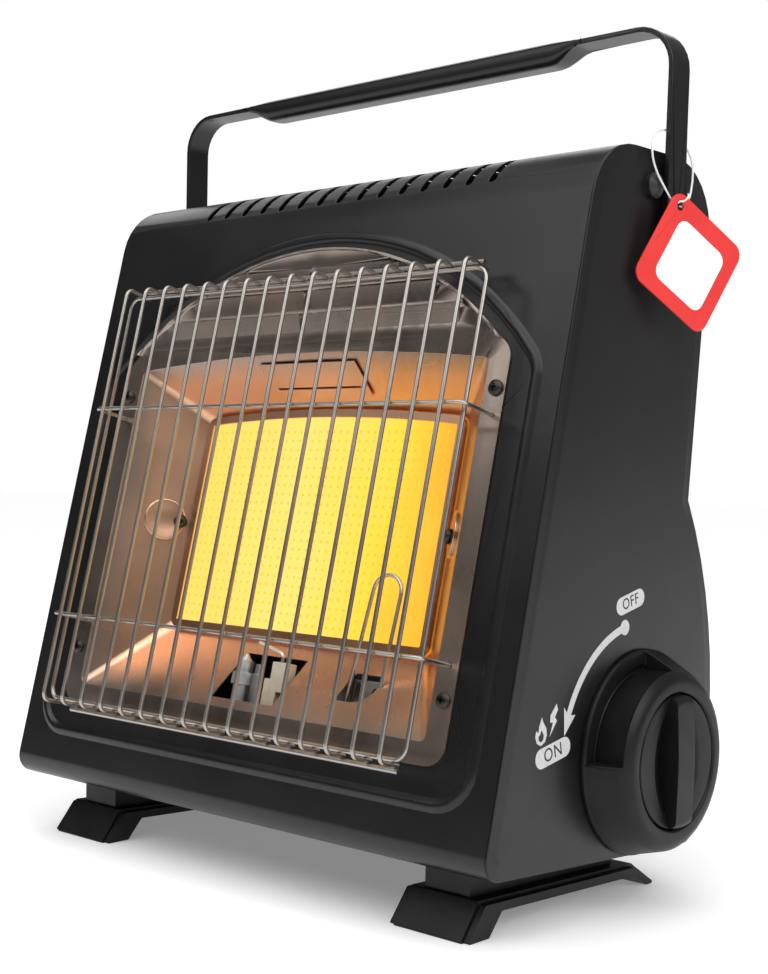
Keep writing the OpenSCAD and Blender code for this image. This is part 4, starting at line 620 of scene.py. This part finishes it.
# %% Weld beads
bead_tree, given, result = tree_of("weld_beads", {"Radius": "Float", "Finish": "Material"})
ball = bead_tree.nodes.new("GeometryNodeMeshIcoSphere")
ball.inputs["Subdivisions"].default_value = 2
spots = bead_tree.nodes.new("GeometryNodeInstanceOnPoints")
spots.inputs["Scale"].default_value = (1.25, 1.25, 0.8)
smooth = bead_tree.nodes.new("GeometryNodeSetShadeSmooth")
real = bead_tree.nodes.new("GeometryNodeRealizeInstances")
paint = bead_tree.nodes.new("GeometryNodeSetMaterial")
wire_up(bead_tree,
        (given, "Geometry", spots, "Points"), (given, "Radius", ball, "Radius"),
        (ball, "Mesh", spots, "Instance"), (spots, "Instances", real, "Geometry"),
        (real, "Geometry", smooth, "Geometry"), (smooth, "Geometry", paint, "Geometry"),
        (given, "Finish", paint, "Material"), (paint, "Geometry", result, "Geometry"))
crossings = [(x, s, GUARD_OUT - WIRE_R) for x in wire_x for s in CROSS_HEIGHTS]
start = bpy.data.meshes.new("weld_beads")
start.from_pydata(crossings, [], [])
mesh = grow("weld_beads", start, bead_tree, Radius=0.62, Finish=chromed_wire)
mesh.transform(FRONT)
settle(new_piece("weld_beads", mesh), body="casing", slot="polished_steel")
print(len(crossings), "weld beads")

# %% [markdown]
# The flame wire is an upside-down U in front of the plaque, whose legs lean a little to the right
# as they rise. It could be half a torus and two rods, but the wire tree sweeps it in one piece.

# %% Flame wire
bracket_s, foot_s, arch_s, flame_n = 44.0, 41, 107.2, -14.0
ARCH_LEFT, ARCH_RIGHT = 50.2, 64.4


def leg_x(low_x, high_x):
    """Where a leg that leans from low_x to high_x stands at its foot."""
    return low_x + (high_x - low_x) * (foot_s - bracket_s) / (arch_s - bracket_s)


flame = wires("flame_wire_bend", [
    [(leg_x(44, ARCH_LEFT), foot_s, flame_n), (ARCH_LEFT, arch_s, flame_n),
     (ARCH_RIGHT, arch_s, flame_n), (leg_x(60.8, ARCH_RIGHT), foot_s, flame_n)]],
    0.8, 6.8, material=plain_steel)
settle(flame, "flame_wire")
print("flame wire", len(flame.data.polygons), "faces")

# %% [markdown]
# ## Burner plaque
# The plaque is a slab of ceramic with hundreds of small burner holes in rows. They could be cut
# with booleans, which is slow and leaves poor faces. Instead one cell with one eight-sided hole is
# made here, and a tree sets it out on a grid, joins it to the plain border, sides and back, and
# merges the seams.

# %% Hole cell
HOLE_PITCH, HOLE_R, HOLE_DEEP, HOLE_TAPER = 3.9, 0.8, 1.2, 0.8
COLUMNS, ROWS = 35, 22
PLAQUE_W, PLAQUE_LOW, PLAQUE_TOP, PLAQUE_T = 72.2, 80.3, 174.2, 13.0
PLAQUE_EDGE, PLAQUE_BOW = 2.6, 3.5
grid_w, grid_h = COLUMNS * HOLE_PITCH, ROWS * HOLE_PITCH
grid_s = PLAQUE_LOW + PLAQUE_EDGE


def hole_cell():
    """One square of the face with its hole in the middle."""
    half = HOLE_PITCH / 2
    rim = [(HOLE_R * math.cos(math.radians(22.5 + 45 * k)),
            HOLE_R * math.sin(math.radians(22.5 + 45 * k))) for k in range(8)]
    corners = [(half, half), (-half, half), (-half, -half), (half, -half)]
    points = [(x, y, 0) for x, y in corners] + [(x, y, 0) for x, y in rim]
    points += [(x * HOLE_TAPER, y * HOLE_TAPER, -HOLE_DEEP) for x, y in rim]
    faces = []
    for k in range(4):
        a, b = 4 + (2 * k) % 8, 4 + (2 * k + 1) % 8
        faces.append((k, b, a))
        c = 4 + (2 * k + 2) % 8
        faces.append((k, (k + 1) % 4, c, b))
    for k in range(8):
        a, b = 4 + k, 4 + (k + 1) % 8
        faces.append((a, b, b + 8, a + 8))
    faces.append(tuple(range(12, 20)))
    mesh = bpy.data.meshes.new("hole_cell")
    mesh.from_pydata(points, [], faces)
    return mesh


print("hole cell", grid_w, "x", grid_h, "mm of cells")

# %% [markdown]
# The slab's top edge is a shallow arch, so the border round the grid of cells isn't a plain ring.
# It could be laid out by hand, but a triangulation between the arch and the grid's own edge points
# fits both, and its points meet the cells' corners exactly.


# %% Plaque border
def plaque_outline():
    """The slab seen from the front, with its arched top."""
    radius = (PLAQUE_W ** 2 + PLAQUE_BOW ** 2) / (2 * PLAQUE_BOW)
    points = [(-PLAQUE_W, PLAQUE_LOW), (PLAQUE_W, PLAQUE_LOW)]
    for k in range(25):
        x = PLAQUE_W * (1 - k / 12)
        points.append((x, PLAQUE_TOP - radius + math.sqrt(radius ** 2 - x ** 2)))
    return points


outline = plaque_outline()
rows = [grid_s + HOLE_PITCH * k for k in range(ROWS + 1)]
cols = [-grid_w / 2 + HOLE_PITCH * k for k in range(COLUMNS + 1)]
inner = ([(x, rows[0]) for x in cols] + [(cols[-1], s) for s in rows[1:]]
         + [(x, rows[-1]) for x in cols[-2::-1]] + [(cols[0], s) for s in rows[-2:0:-1]])
flat = [Vector(p) for p in outline + inner]
rims = [(i, (i + 1) % len(outline)) for i in range(len(outline))]
rims += [(len(outline) + i, len(outline) + (i + 1) % len(inner)) for i in range(len(inner))]
laid, _, triangles, *_ = delaunay_2d_cdt(flat, rims, [], 0, 1e-6)


def in_border(face):
    x = sum(laid[i].x for i in face) / 3
    s = sum(laid[i].y for i in face) / 3
    return not (cols[0] < x < cols[-1] and rows[0] < s < rows[-1])


points = [(p.x, p.y, -PLAQUE_N) for p in laid]
faces = [tuple(face) for face in triangles if in_border(face)]
back = len(points)
points += [(x, s, -PLAQUE_N - PLAQUE_T) for x, s in outline]
count = len(outline)
faces += [(i, back + i, back + (i + 1) % count, (i + 1) % count) for i in range(count)]
faces.append(tuple(back + i for i in reversed(range(count))))
start = bpy.data.meshes.new("plaque_border")
start.from_pydata(points, [], faces)
print("border", len(faces), "faces")

# %% [markdown]
# The tree puts a cell on every point of a grid and makes the copies real, so that the seams can be
# merged. The result is one closed slab, with no hidden faces between its cells.

# %% Plaque
plaque_tree, given, result = tree_of("perforated_plaque", {
    "Width": "Float", "Height": "Float", "Columns": "Int", "Rows": "Int", "Place": "Vector",
    "Cell": "Object", "Finish": "Material"})
grid = plaque_tree.nodes.new("GeometryNodeMeshGrid")
shift = plaque_tree.nodes.new("GeometryNodeTransform")
cell_of = plaque_tree.nodes.new("GeometryNodeObjectInfo")
stamp = plaque_tree.nodes.new("GeometryNodeInstanceOnPoints")
unite = plaque_tree.nodes.new("GeometryNodeRealizeInstances")
weld = plaque_tree.nodes.new("GeometryNodeJoinGeometry")
merge = plaque_tree.nodes.new("GeometryNodeMergeByDistance")
merge.inputs["Distance"].default_value = 0.01
real = plaque_tree.nodes.new("GeometryNodeRealizeInstances")
paint = plaque_tree.nodes.new("GeometryNodeSetMaterial")
wire_up(plaque_tree,
        (given, "Width", grid, "Size X"), (given, "Height", grid, "Size Y"),
        (given, "Columns", grid, "Vertices X"), (given, "Rows", grid, "Vertices Y"),
        (grid, "Mesh", shift, "Geometry"), (given, "Place", shift, "Translation"),
        (given, "Cell", cell_of, "Object"), (shift, "Geometry", stamp, "Points"),
        (cell_of, "Geometry", stamp, "Instance"), (stamp, "Instances", unite, "Geometry"),
        (given, "Geometry", weld, "Geometry"), (unite, "Geometry", weld, "Geometry"),
        (weld, "Geometry", merge, "Geometry"), (merge, "Geometry", real, "Geometry"),
        (real, "Geometry", paint, "Geometry"), (given, "Finish", paint, "Material"),
        (paint, "Geometry", result, "Geometry"))
cell = new_piece("hole_cell", hole_cell())
mesh = grow("burner_plaque", start, plaque_tree, Width=grid_w - HOLE_PITCH,
            Height=grid_h - HOLE_PITCH, Columns=COLUMNS, Rows=ROWS,
            Place=(0.0, grid_s + grid_h / 2, -PLAQUE_N), Cell=cell, Finish=glow)
bpy.data.objects.remove(cell)
mesh.transform(FRONT)
settle(new_piece("burner_plaque", mesh), "ceramic_plaque")
print("plaque", COLUMNS * ROWS, "holes,", len(mesh.polygons), "faces")

# %% [markdown]
# ## Screws
# The flange is held by four black cross-head screws, and each wall of the reflector by one in a
# cup. The recess could be a dark print, but it catches light, so one head is turned and its cross
# is cut with a boolean. A tree then puts that head on each point, turned to the direction that is
# stored with the point.

# %% Screw tree
screw_tree, given, result = tree_of("cross_head_screws", {
    "Head": "Object", "Size": "Float", "Finish": "Material"})
facing = screw_tree.nodes.new("GeometryNodeInputNamedAttribute")
facing.data_type = "FLOAT_VECTOR"
facing.inputs["Name"].default_value = "facing"
aim = screw_tree.nodes.new("FunctionNodeAlignRotationToVector")
aim.axis = "Z"
head_of = screw_tree.nodes.new("GeometryNodeObjectInfo")
stamp = screw_tree.nodes.new("GeometryNodeInstanceOnPoints")
real = screw_tree.nodes.new("GeometryNodeRealizeInstances")
paint = screw_tree.nodes.new("GeometryNodeSetMaterial")
wire_up(screw_tree,
        (given, "Geometry", stamp, "Points"), (given, "Head", head_of, "Object"),
        (head_of, "Geometry", stamp, "Instance"), (facing, "Attribute", aim, "Vector"),
        (aim, "Rotation", stamp, "Rotation"), (given, "Size", stamp, "Scale"),
        (stamp, "Instances", real, "Geometry"), (real, "Geometry", paint, "Geometry"),
        (given, "Finish", paint, "Material"), (paint, "Geometry", result, "Geometry"))
print("screw tree:", len(screw_tree.nodes), "nodes")


# %% [markdown]
# A screw head is a turned shape, so its profile is swept round an axis. The recess is two crossed
# wedges cut out of it, and only this one head needs the boolean.


# %% Screw head
def lathe(name, profile, steps):
    """A closed turned shape about Z from (radius, height) points, both ends on the axis."""
    points, faces, rings = [], [], []
    for r, h in profile:
        if r == 0:
            rings.append([len(points)])
            points.append((0, 0, h))
        else:
            rings.append([len(points) + k for k in range(steps)])
            points += [(r * math.cos(2 * math.pi * k / steps),
                        r * math.sin(2 * math.pi * k / steps), h) for k in range(steps)]
    for low, high in zip(rings, rings[1:]):
        for k in range(steps):
            a, b = low[k % len(low)], low[(k + 1) % len(low)]
            c, d = high[(k + 1) % len(high)], high[k % len(high)]
            faces.append(tuple(dict.fromkeys((a, b, c, d))))
    mesh = bpy.data.meshes.new(name)
    mesh.from_pydata(points, [], faces)
    return mesh


def cross_head():
    """A pan head of radius 1 with its flat underside at height 0 and a short shank."""
    turned = lathe("pan_head", [(0, -1.2), (0.5, -1.2), (0.5, 0), (1, 0), (1, 0.2), (0.96, 0.34),
                                (0.84, 0.47), (0.6, 0.58), (0.3, 0.62), (0, 0.63)], 32)
    head = new_piece("pan_head", turned)
    cutter = bmesh.new()
    for quarter in range(2):
        wide = bmesh.ops.create_cube(cutter, size=1)["verts"]
        for v in wide:
            taper = 1.0 if v.co.z > 0 else 0.55
            x, y = v.co.x * 1.15 * taper, v.co.y * 0.26 * taper
            v.co = (x, y, 0.6 + v.co.z) if quarter == 0 else (-y, x, 0.6 + v.co.z)
    cut_mesh = bpy.data.meshes.new("cross_cutter")
    cutter.to_mesh(cut_mesh)
    cutter.free()
    tool = new_piece("cross_cutter", cut_mesh)
    carve = head.modifiers.new("recess", "BOOLEAN")
    carve.operation = "DIFFERENCE"
    carve.solver = "EXACT"
    carve.use_self = True
    carve.object = tool
    graph = bpy.context.evaluated_depsgraph_get()
    graph.update()
    mesh = bpy.data.meshes.new_from_object(head.evaluated_get(graph))
    bpy.data.objects.remove(head)
    bpy.data.objects.remove(tool)
    mesh.shade_smooth()
    mesh.set_sharp_from_angle(angle=math.radians(35))
    return new_piece("cross_head", mesh)


# %% [markdown]
# The four screws of the flange face straight out of the front. The two in the cups face out of the
# slanted walls, so their place and direction are worked out from the slope of the wall.


# %% Screws
def screws(name, places, size):
    """Heads of a size at the places, each a point and a direction in front millimetres."""
    start = bpy.data.meshes.new(name)
    start.from_pydata([p for p, _ in places], [], [])
    direction = start.attributes.new("facing", "FLOAT_VECTOR", "POINT")
    for item, (_, d) in zip(direction.data, places):
        item.vector = d
    mesh = grow(name, start, screw_tree, Head=head, Size=size, Finish=dark_screw)
    mesh.transform(FRONT)
    return new_piece(name, mesh)


FLANGE_UP, CUP_UP = 0.8, 1.22
head = cross_head()
flange_screws = screws("flange_screws", [((x, s, FLANGE_UP), (0, 0, 1))
                                         for x in (-FLANGE_X, FLANGE_X) for s in (62.1, 177.0)],
                       3.1)
settle(flange_screws, "reflector_screws")
BOWL_X, WALL_W, WALL_DEEP, ALONG_WALL, CUP_S = 100.0, 25.0, 24.0, 0.84, 124.6
wall_turn = math.atan2(WALL_DEEP, WALL_W)
wall_places = []
for side in (1, -1):
    out = Vector((-math.sin(wall_turn) * side, 0, math.cos(wall_turn)))
    foot = Vector((side * (BOWL_X - ALONG_WALL * WALL_W), CUP_S, -ALONG_WALL * WALL_DEEP))
    wall_places.append((tuple(foot + out * CUP_UP), tuple(out)))
wall_screws = screws("wall_screws", wall_places, 3.0)
settle(wall_screws, "burner_screws")
bpy.data.objects.remove(head)
print("screws", len(flange_screws.data.polygons) + len(wall_screws.data.polygons), "faces")

# %% [markdown]
# ## Printed marks
# White marks are screen printed on the right side round the knob: OFF and ON in pills, an arc
# with an arrow from one to the other, a flame and a spark. They could be a picture laid on the
# panel, but real shapes stay sharp at any distance. Each is a flat shape a few hundredths of a
# millimetre thick, drawn in the plane of the panel, where y runs to the back and z up.

# %% Print helpers
INK_X = 135.02
INK_T = 0.03


def on_side(mesh, lift=0.0):
    """From millimetres to the back, up and out of the right side to the frame."""
    turn = Matrix(((0, 0, 1), (1, 0, 0), (0, 1, 0))).to_4x4()
    mesh.transform(Matrix.Translation(at(INK_X + lift, 0, 0)) @ turn @ Matrix.Scale(MM, 4))


def flat_shape(name, loops):
    """A thin plate from closed outlines; a later loop inside the first is a hole."""
    edges, points = [], []
    for loop in loops:
        first = len(points)
        points += [Vector(p) for p in loop]
        edges += [(first + i, first + (i + 1) % len(loop)) for i in range(len(loop))]
    laid, _, tris, *_ = delaunay_2d_cdt(points, edges, [], 1, 1e-6)
    keep = []
    for tri in tris:
        centre = sum((laid[i] for i in tri), Vector((0, 0))) / 3
        if all(inside(centre, loop) == (k == 0) for k, loop in enumerate(loops)):
            keep.append(tri)
    shape = bmesh.new()
    corners = [shape.verts.new((p.x, p.y, 0)) for p in laid]
    for tri in keep:
        shape.faces.new([corners[i] for i in tri])
    bmesh.ops.recalc_face_normals(shape, faces=shape.faces)
    raised = bmesh.ops.extrude_face_region(shape, geom=shape.faces[:])
    for v in raised["geom"]:
        if isinstance(v, bmesh.types.BMVert):
            v.co.z += INK_T
    loose = [v for v in shape.verts if not v.link_faces]
    bmesh.ops.delete(shape, geom=loose, context="VERTS")
    bmesh.ops.recalc_face_normals(shape, faces=shape.faces)
    mesh = bpy.data.meshes.new(name)
    shape.to_mesh(mesh)
    shape.free()
    return mesh


def inside(p, loop):
    """Whether a line from the point crosses the loop an odd number of times."""
    hit = False
    for (ax, ay), (bx, by) in zip(loop, loop[1:] + loop[:1]):
        if (ay > p.y) != (by > p.y) and p.x < (bx - ax) * (p.y - ay) / (by - ay) + ax:
            hit = not hit
    return hit


def pill(centre, length, height, tilt):
    """A bar with round ends, tilted by some degrees."""
    r = height / 2
    c, s = math.cos(math.radians(tilt)), math.sin(math.radians(tilt))
    loop = []
    for end, start in ((1, -90), (-1, 90)):
        for k in range(13):
            a = math.radians(start + 15 * k)
            x, y = end * (length / 2 - r) + r * math.cos(a), r * math.sin(a)
            loop.append((centre[0] + x * c - y * s, centre[1] + x * s + y * c))
    return loop


def disc(centre, r):
    return [(centre[0] + r * math.cos(2 * math.pi * k / 32),
             centre[1] + r * math.sin(2 * math.pi * k / 32)) for k in range(32)]


def printed(name, loops, lift=0.0):
    """White ink on the right side; a small lift lays one mark over another."""
    mesh = flat_shape(name, loops)
    on_side(mesh, lift)
    mesh.materials.append(white_ink)
    return settle(new_piece(name, mesh), body="casing", slot="casing_paint")


def word(name, text, centre, size, tilt):
    """Plain letters on a pill, made a mesh before they are placed."""
    letters = bpy.data.curves.new(name, "FONT")
    letters.body = text
    letters.size = size
    letters.align_x, letters.align_y = "CENTER", "CENTER"
    letters.extrude = INK_T / 2
    letters.space_character = 1.1
    letters.offset = 0.03
    holder = new_piece(name, letters)
    graph = bpy.context.evaluated_depsgraph_get()
    graph.update()
    mesh = bpy.data.meshes.new_from_object(holder.evaluated_get(graph))
    bpy.data.objects.remove(holder)
    mesh.transform(Matrix.Translation((*centre, 0)) @ Matrix.Rotation(math.radians(tilt), 4, "Z"))
    on_side(mesh, INK_T * 1.6)
    mesh.materials.clear()
    mesh.materials.append(black_ink)
    return settle(new_piece(name, mesh), body="casing", slot="casing_paint")


print("helpers: on_side, flat_shape, inside, pill, disc, printed, word")

# %% [markdown]
# The marks stand where the knob's turn begins and ends. The arc and its arrow follow a circle
# about the knob's axis, so they are given by a radius and by angles. The dot and the arrow lie a
# hundredth of a millimetre over the arc, because two faces in one plane would flicker.

# %% Marks round the knob
KNOB = (94.2, 58.2)
OFF_PLACE, OFF_TILT = (86.6, 116.9), 13.0
ON_PLACE, ON_TILT = (38.9, 66.1), 11.0
OVER = 0.01
printed("off_pill", [pill(OFF_PLACE, 19.0, 6.7, OFF_TILT)])
word("off_word", "OFF", OFF_PLACE, 5.9, OFF_TILT)
printed("on_pill", [pill(ON_PLACE, 21.0, 7.2, ON_TILT)])
word("on_word", "ON", ON_PLACE, 6.7, ON_TILT)
printed("off_dot", [disc((83.1, 107.5), 2.9)], lift=OVER)


def round_knob(r, degrees):
    """A point at a radius and an angle about the knob's axis."""
    a = math.radians(degrees)
    return (KNOB[0] + r * math.cos(a), KNOB[1] + r * math.sin(a))


ARC_R, ARC_HALF, ARROW_HALF = 50.5, 1.45, 3.9
ARC_FROM, ARC_TO = 103.5, 157.0
ARROW_BACK, ARROW_NOTCH, ARROW_TIP = 154.6, 156.6, 165.0
sweep_angles = [ARC_FROM + (ARC_TO - ARC_FROM) * k / 24 for k in range(25)]
arc = [round_knob(ARC_R + ARC_HALF, a) for a in sweep_angles]
arc += [round_knob(ARC_R - ARC_HALF, a) for a in reversed(sweep_angles)]
printed("turn_arc", [arc])
printed("turn_arrow", [[
    round_knob(ARC_R + ARROW_HALF, ARROW_BACK), round_knob(ARC_R, ARROW_TIP),
    round_knob(ARC_R - ARROW_HALF, ARROW_BACK), round_knob(ARC_R, ARROW_NOTCH)]], lift=OVER)
flame_shape = [(31.9, 79.4), (33.0, 77.2), (34.6, 75.4), (35.0, 73.0), (34.0, 70.6), (31.6, 69.4),
               (29.2, 70.4), (28.2, 72.8), (28.8, 75.0), (30.0, 73.9), (30.4, 76.2)]
flame_heart = [(31.8, 75.0), (33.2, 73.0), (32.9, 71.4), (31.6, 70.6), (30.2, 71.4), (30.1, 72.8),
               (31.0, 73.4)]
printed("flame_mark", [flame_shape, flame_heart])
spark_shape = [(40.6, 83.4), (37.0, 79.6), (36.9, 77.0), (38.5, 76.9), (36.6, 72.0), (40.9, 77.3),
               (39.6, 78.6), (41.4, 81.2)]
printed("spark_mark", [spark_shape])
print("marks printed")

# %% [markdown]
# ## Hang tag
# The tag is a square of red card with rounded corners, hung by one corner from a plain round
# hole. A plain white panel is printed on both faces. It could be a second colour in the card's
# finish, but its edge is a print's own edge, so it is a thin shape laid on each face.

# %% Tag panel
TAG_HOLE = (143.6, 102.0, 266.2)
TAG_TURN, TAG_ROLL, TAG_T = 73.0, 13.0, 0.8
PANEL_AT, PANEL_HALF, PANEL_R = 16.0, 13.2, 4.2
tag_frame = (Matrix.Translation(at(*TAG_HOLE))
             @ Matrix.Rotation(math.radians(TAG_TURN), 4, "Z")
             @ Matrix.Rotation(math.radians(90), 4, "X")
             @ Matrix.Rotation(math.radians(TAG_ROLL - 135), 4, "Z") @ Matrix.Scale(MM, 4))


def rounded_square(centre, half, r):
    """A square about (centre, centre) with corners of radius r."""
    loop = []
    for cx, cy, a0 in ((1, 1, 0), (-1, 1, 90), (-1, -1, 180), (1, -1, 270)):
        for k in range(9):
            a = math.radians(a0 + 90 * k / 8)
            loop.append((centre + cx * (half - r) + r * math.cos(a),
                         centre + cy * (half - r) + r * math.sin(a)))
    return loop


for side, name in ((1, "tag_panel_front"), (-1, "tag_panel_back")):
    mesh = flat_shape(name, [rounded_square(PANEL_AT, PANEL_HALF, PANEL_R)])
    lift = TAG_T / 2 + OVER if side > 0 else -TAG_T / 2 - OVER - INK_T
    mesh.transform(tag_frame @ Matrix.Translation((0, 0, lift)))
    mesh.materials.append(tag_white)
    settle(new_piece(name, mesh), body="tag", slot="tag_card")
soften("hang_tag", 0.12)
print("tag panels printed")

# %% [markdown]
# Where the string enters the hole it lies over the card's corner. The long strand can't lie there
# too and still move with the handle, so this small hitch is a piece of its own that rides with the
# tag. The wire tree sweeps it through a smooth line of points.

# %% Tag hitch
HITCH_R = 0.35
across_tag = Vector((0.2924, 0.9563, 0.0))
out_of_tag = Vector((0.9563, -0.2924, 0.0))
HITCH = [(-0.9, 1.2, 0.0), (-0.6, 1.7, 0.8), (0.8, 1.9, 0.85), (2.2, 2.6, 0.85), (3.2, 3.8, 0.85),
         (3.7, 4.7, 0.6), (3.8, 4.9, 0.0)]
hitch_points = [Vector(TAG_HOLE) + across_tag * h + Vector((0, 0, z)) + out_of_tag * n
                for h, z, n in HITCH]
hitch_line = [at(*p) for p in spline(hitch_points, 5)]
start = bpy.data.meshes.new("tag_hitch")
start.from_pydata([tuple(p / MM) for p in hitch_line],
                  [(i, i + 1) for i in range(len(hitch_line) - 1)], [])
mesh = grow("tag_hitch", start, wire_tree, Bend=0.0, Radius=HITCH_R, Sides=12, Bend_Steps=1,
            Finish=white_nylon)
mesh.transform(Matrix.Scale(MM, 4))
settle(new_piece("tag_hitch", mesh), body="tag", slot="string")
print("hitch", len(mesh.polygons), "faces")

# %% [markdown]
# ## Floor and light
# A wide pale floor and a pale studio. A plain white sky could light it all, but black enamel would
# then mirror white and look grey. So the sky is white only where the camera looks straight at it,
# and dim in the light that it gives, from one side more than from the other. A broad sun lights
# the floor and gives the soft shadow.

# %% Floor
FLOOR_HALF, FLOOR_GLOW = 6, 0.22
slab = bpy.data.meshes.new("floor")
slab.from_pydata([(x * FLOOR_HALF, y * FLOOR_HALF, 0)
                  for x, y in ((-1, -1), (1, -1), (1, 1), (-1, 1))], [], [(0, 1, 2, 3)])
floor = new_piece("floor", slab)
pale = finish("pale_floor", (0.93, 0.93, 0.93), 0.7)
grain(pale, 60, 0.00005)
pale_shader = pale.node_tree.nodes["Principled BSDF"]
pale_shader.inputs["Emission Color"].default_value = (1, 1, 1, 1)
pale_shader.inputs["Emission Strength"].default_value = FLOOR_GLOW
slab.materials.append(pale)
print("floor", 2 * FLOOR_HALF, "m wide")

# %% [markdown]
# The sky's light could come from a picture of a studio, but a smooth step from dim to pale over
# one direction is enough for enamel. A light path node keeps the backdrop itself white.

# %% Sky
DIM, PALE = 0.04, 0.25
PALE_SIDE = (0.74, 0.64, 0.1)
world = bpy.data.worlds.new("studio")
world.use_nodes = True
sky = world.node_tree.nodes["Background"]
sky.inputs["Color"].default_value = (1, 1, 1, 1)
sky.inputs["Strength"].default_value = 1.0
seen = world.node_tree.nodes.new("ShaderNodeBackground")
seen.inputs["Color"].default_value = (1, 1, 1, 1)
seen.inputs["Strength"].default_value = 1.0
way = world.node_tree.nodes.new("ShaderNodeTexCoord")
side = world.node_tree.nodes.new("ShaderNodeVectorMath")
side.operation = "DOT_PRODUCT"
side.inputs[1].default_value = Vector(PALE_SIDE).normalized()
tone = world.node_tree.nodes.new("ShaderNodeMapRange")
tone.interpolation_type = "SMOOTHSTEP"
tone.inputs["From Min"].default_value = -0.7
tone.inputs["From Max"].default_value = 0.8
tone.inputs["To Min"].default_value = DIM
tone.inputs["To Max"].default_value = PALE
world.node_tree.links.new(way.outputs["Generated"], side.inputs[0])
world.node_tree.links.new(side.outputs["Value"], tone.inputs["Value"])
world.node_tree.links.new(tone.outputs["Result"], sky.inputs["Strength"])
ray = world.node_tree.nodes.new("ShaderNodeLightPath")
either = world.node_tree.nodes.new("ShaderNodeMixShader")
world_end = world.node_tree.nodes["World Output"]
for source, output, target, socket in (
        (ray, "Is Camera Ray", either, 0), (sky, "Background", either, 1),
        (seen, "Background", either, 2), (either, "Shader", world_end, "Surface")):
    world.node_tree.links.new(source.outputs[output], target.inputs[socket])
bpy.context.scene.world = world
bpy.context.scene.view_settings.view_transform = "Standard"
print("sky from", DIM, "to", PALE)


# %% [markdown]
# Enamel shows its shape by what it mirrors. Point lamps would make small hard spots on it, so the
# lamps are wide panels: one over the back draws the line along the top bend, one in front fills
# the bowl and the guard, and one beside the knob lights the prints and the tag.


# %% Lamps
def soft_box(name, place, aim, size, power):
    """A wide panel lamp at a place, aimed at a point, of a size in metres and a power in watts."""
    lamp = bpy.data.lights.new(name, "AREA")
    lamp.shape = "RECTANGLE"
    lamp.size, lamp.size_y = size
    lamp.energy = power
    box = bpy.data.objects.new(name, lamp)
    bpy.context.scene.collection.objects.link(box)
    box.location = place
    box.rotation_mode = "QUATERNION"
    box.rotation_quaternion = (Vector(aim) - Vector(place)).to_track_quat("-Z", "Y")
    return box


def broad_sun(name, toward, strength, angle):
    """An even light from a direction; a wide angle softens its shadow."""
    lamp = bpy.data.lights.new(name, "SUN")
    lamp.energy = strength
    lamp.angle = math.radians(angle)
    sun = bpy.data.objects.new(name, lamp)
    bpy.context.scene.collection.objects.link(sun)
    sun.rotation_mode = "QUATERNION"
    sun.rotation_quaternion = Vector(toward).to_track_quat("Z", "Y")
    return sun


broad_sun("broad_sun", (0.1, -0.35, 1.0), 2.5, 80)
soft_box("soft_box_over", (-0.75, 0.7, 1.0), (0, 0, 0.25), (1.3, 0.5), 3.4)
soft_box("soft_box_front", (-0.52, -1.0, 1.0), (0.05, -0.05, 0.25), (0.8, 0.6), 3.0)
soft_box("soft_box_side", (1.3, -0.12, 0.95), (0.1, 0, 0.2), (1.0, 0.8), 7.5)
print("lamps:", [lamp.name for lamp in bpy.data.lights])

# %% [markdown]
# ## The end
# The view layer is brought up to date.

# %% The end
bpy.context.view_layer.update()
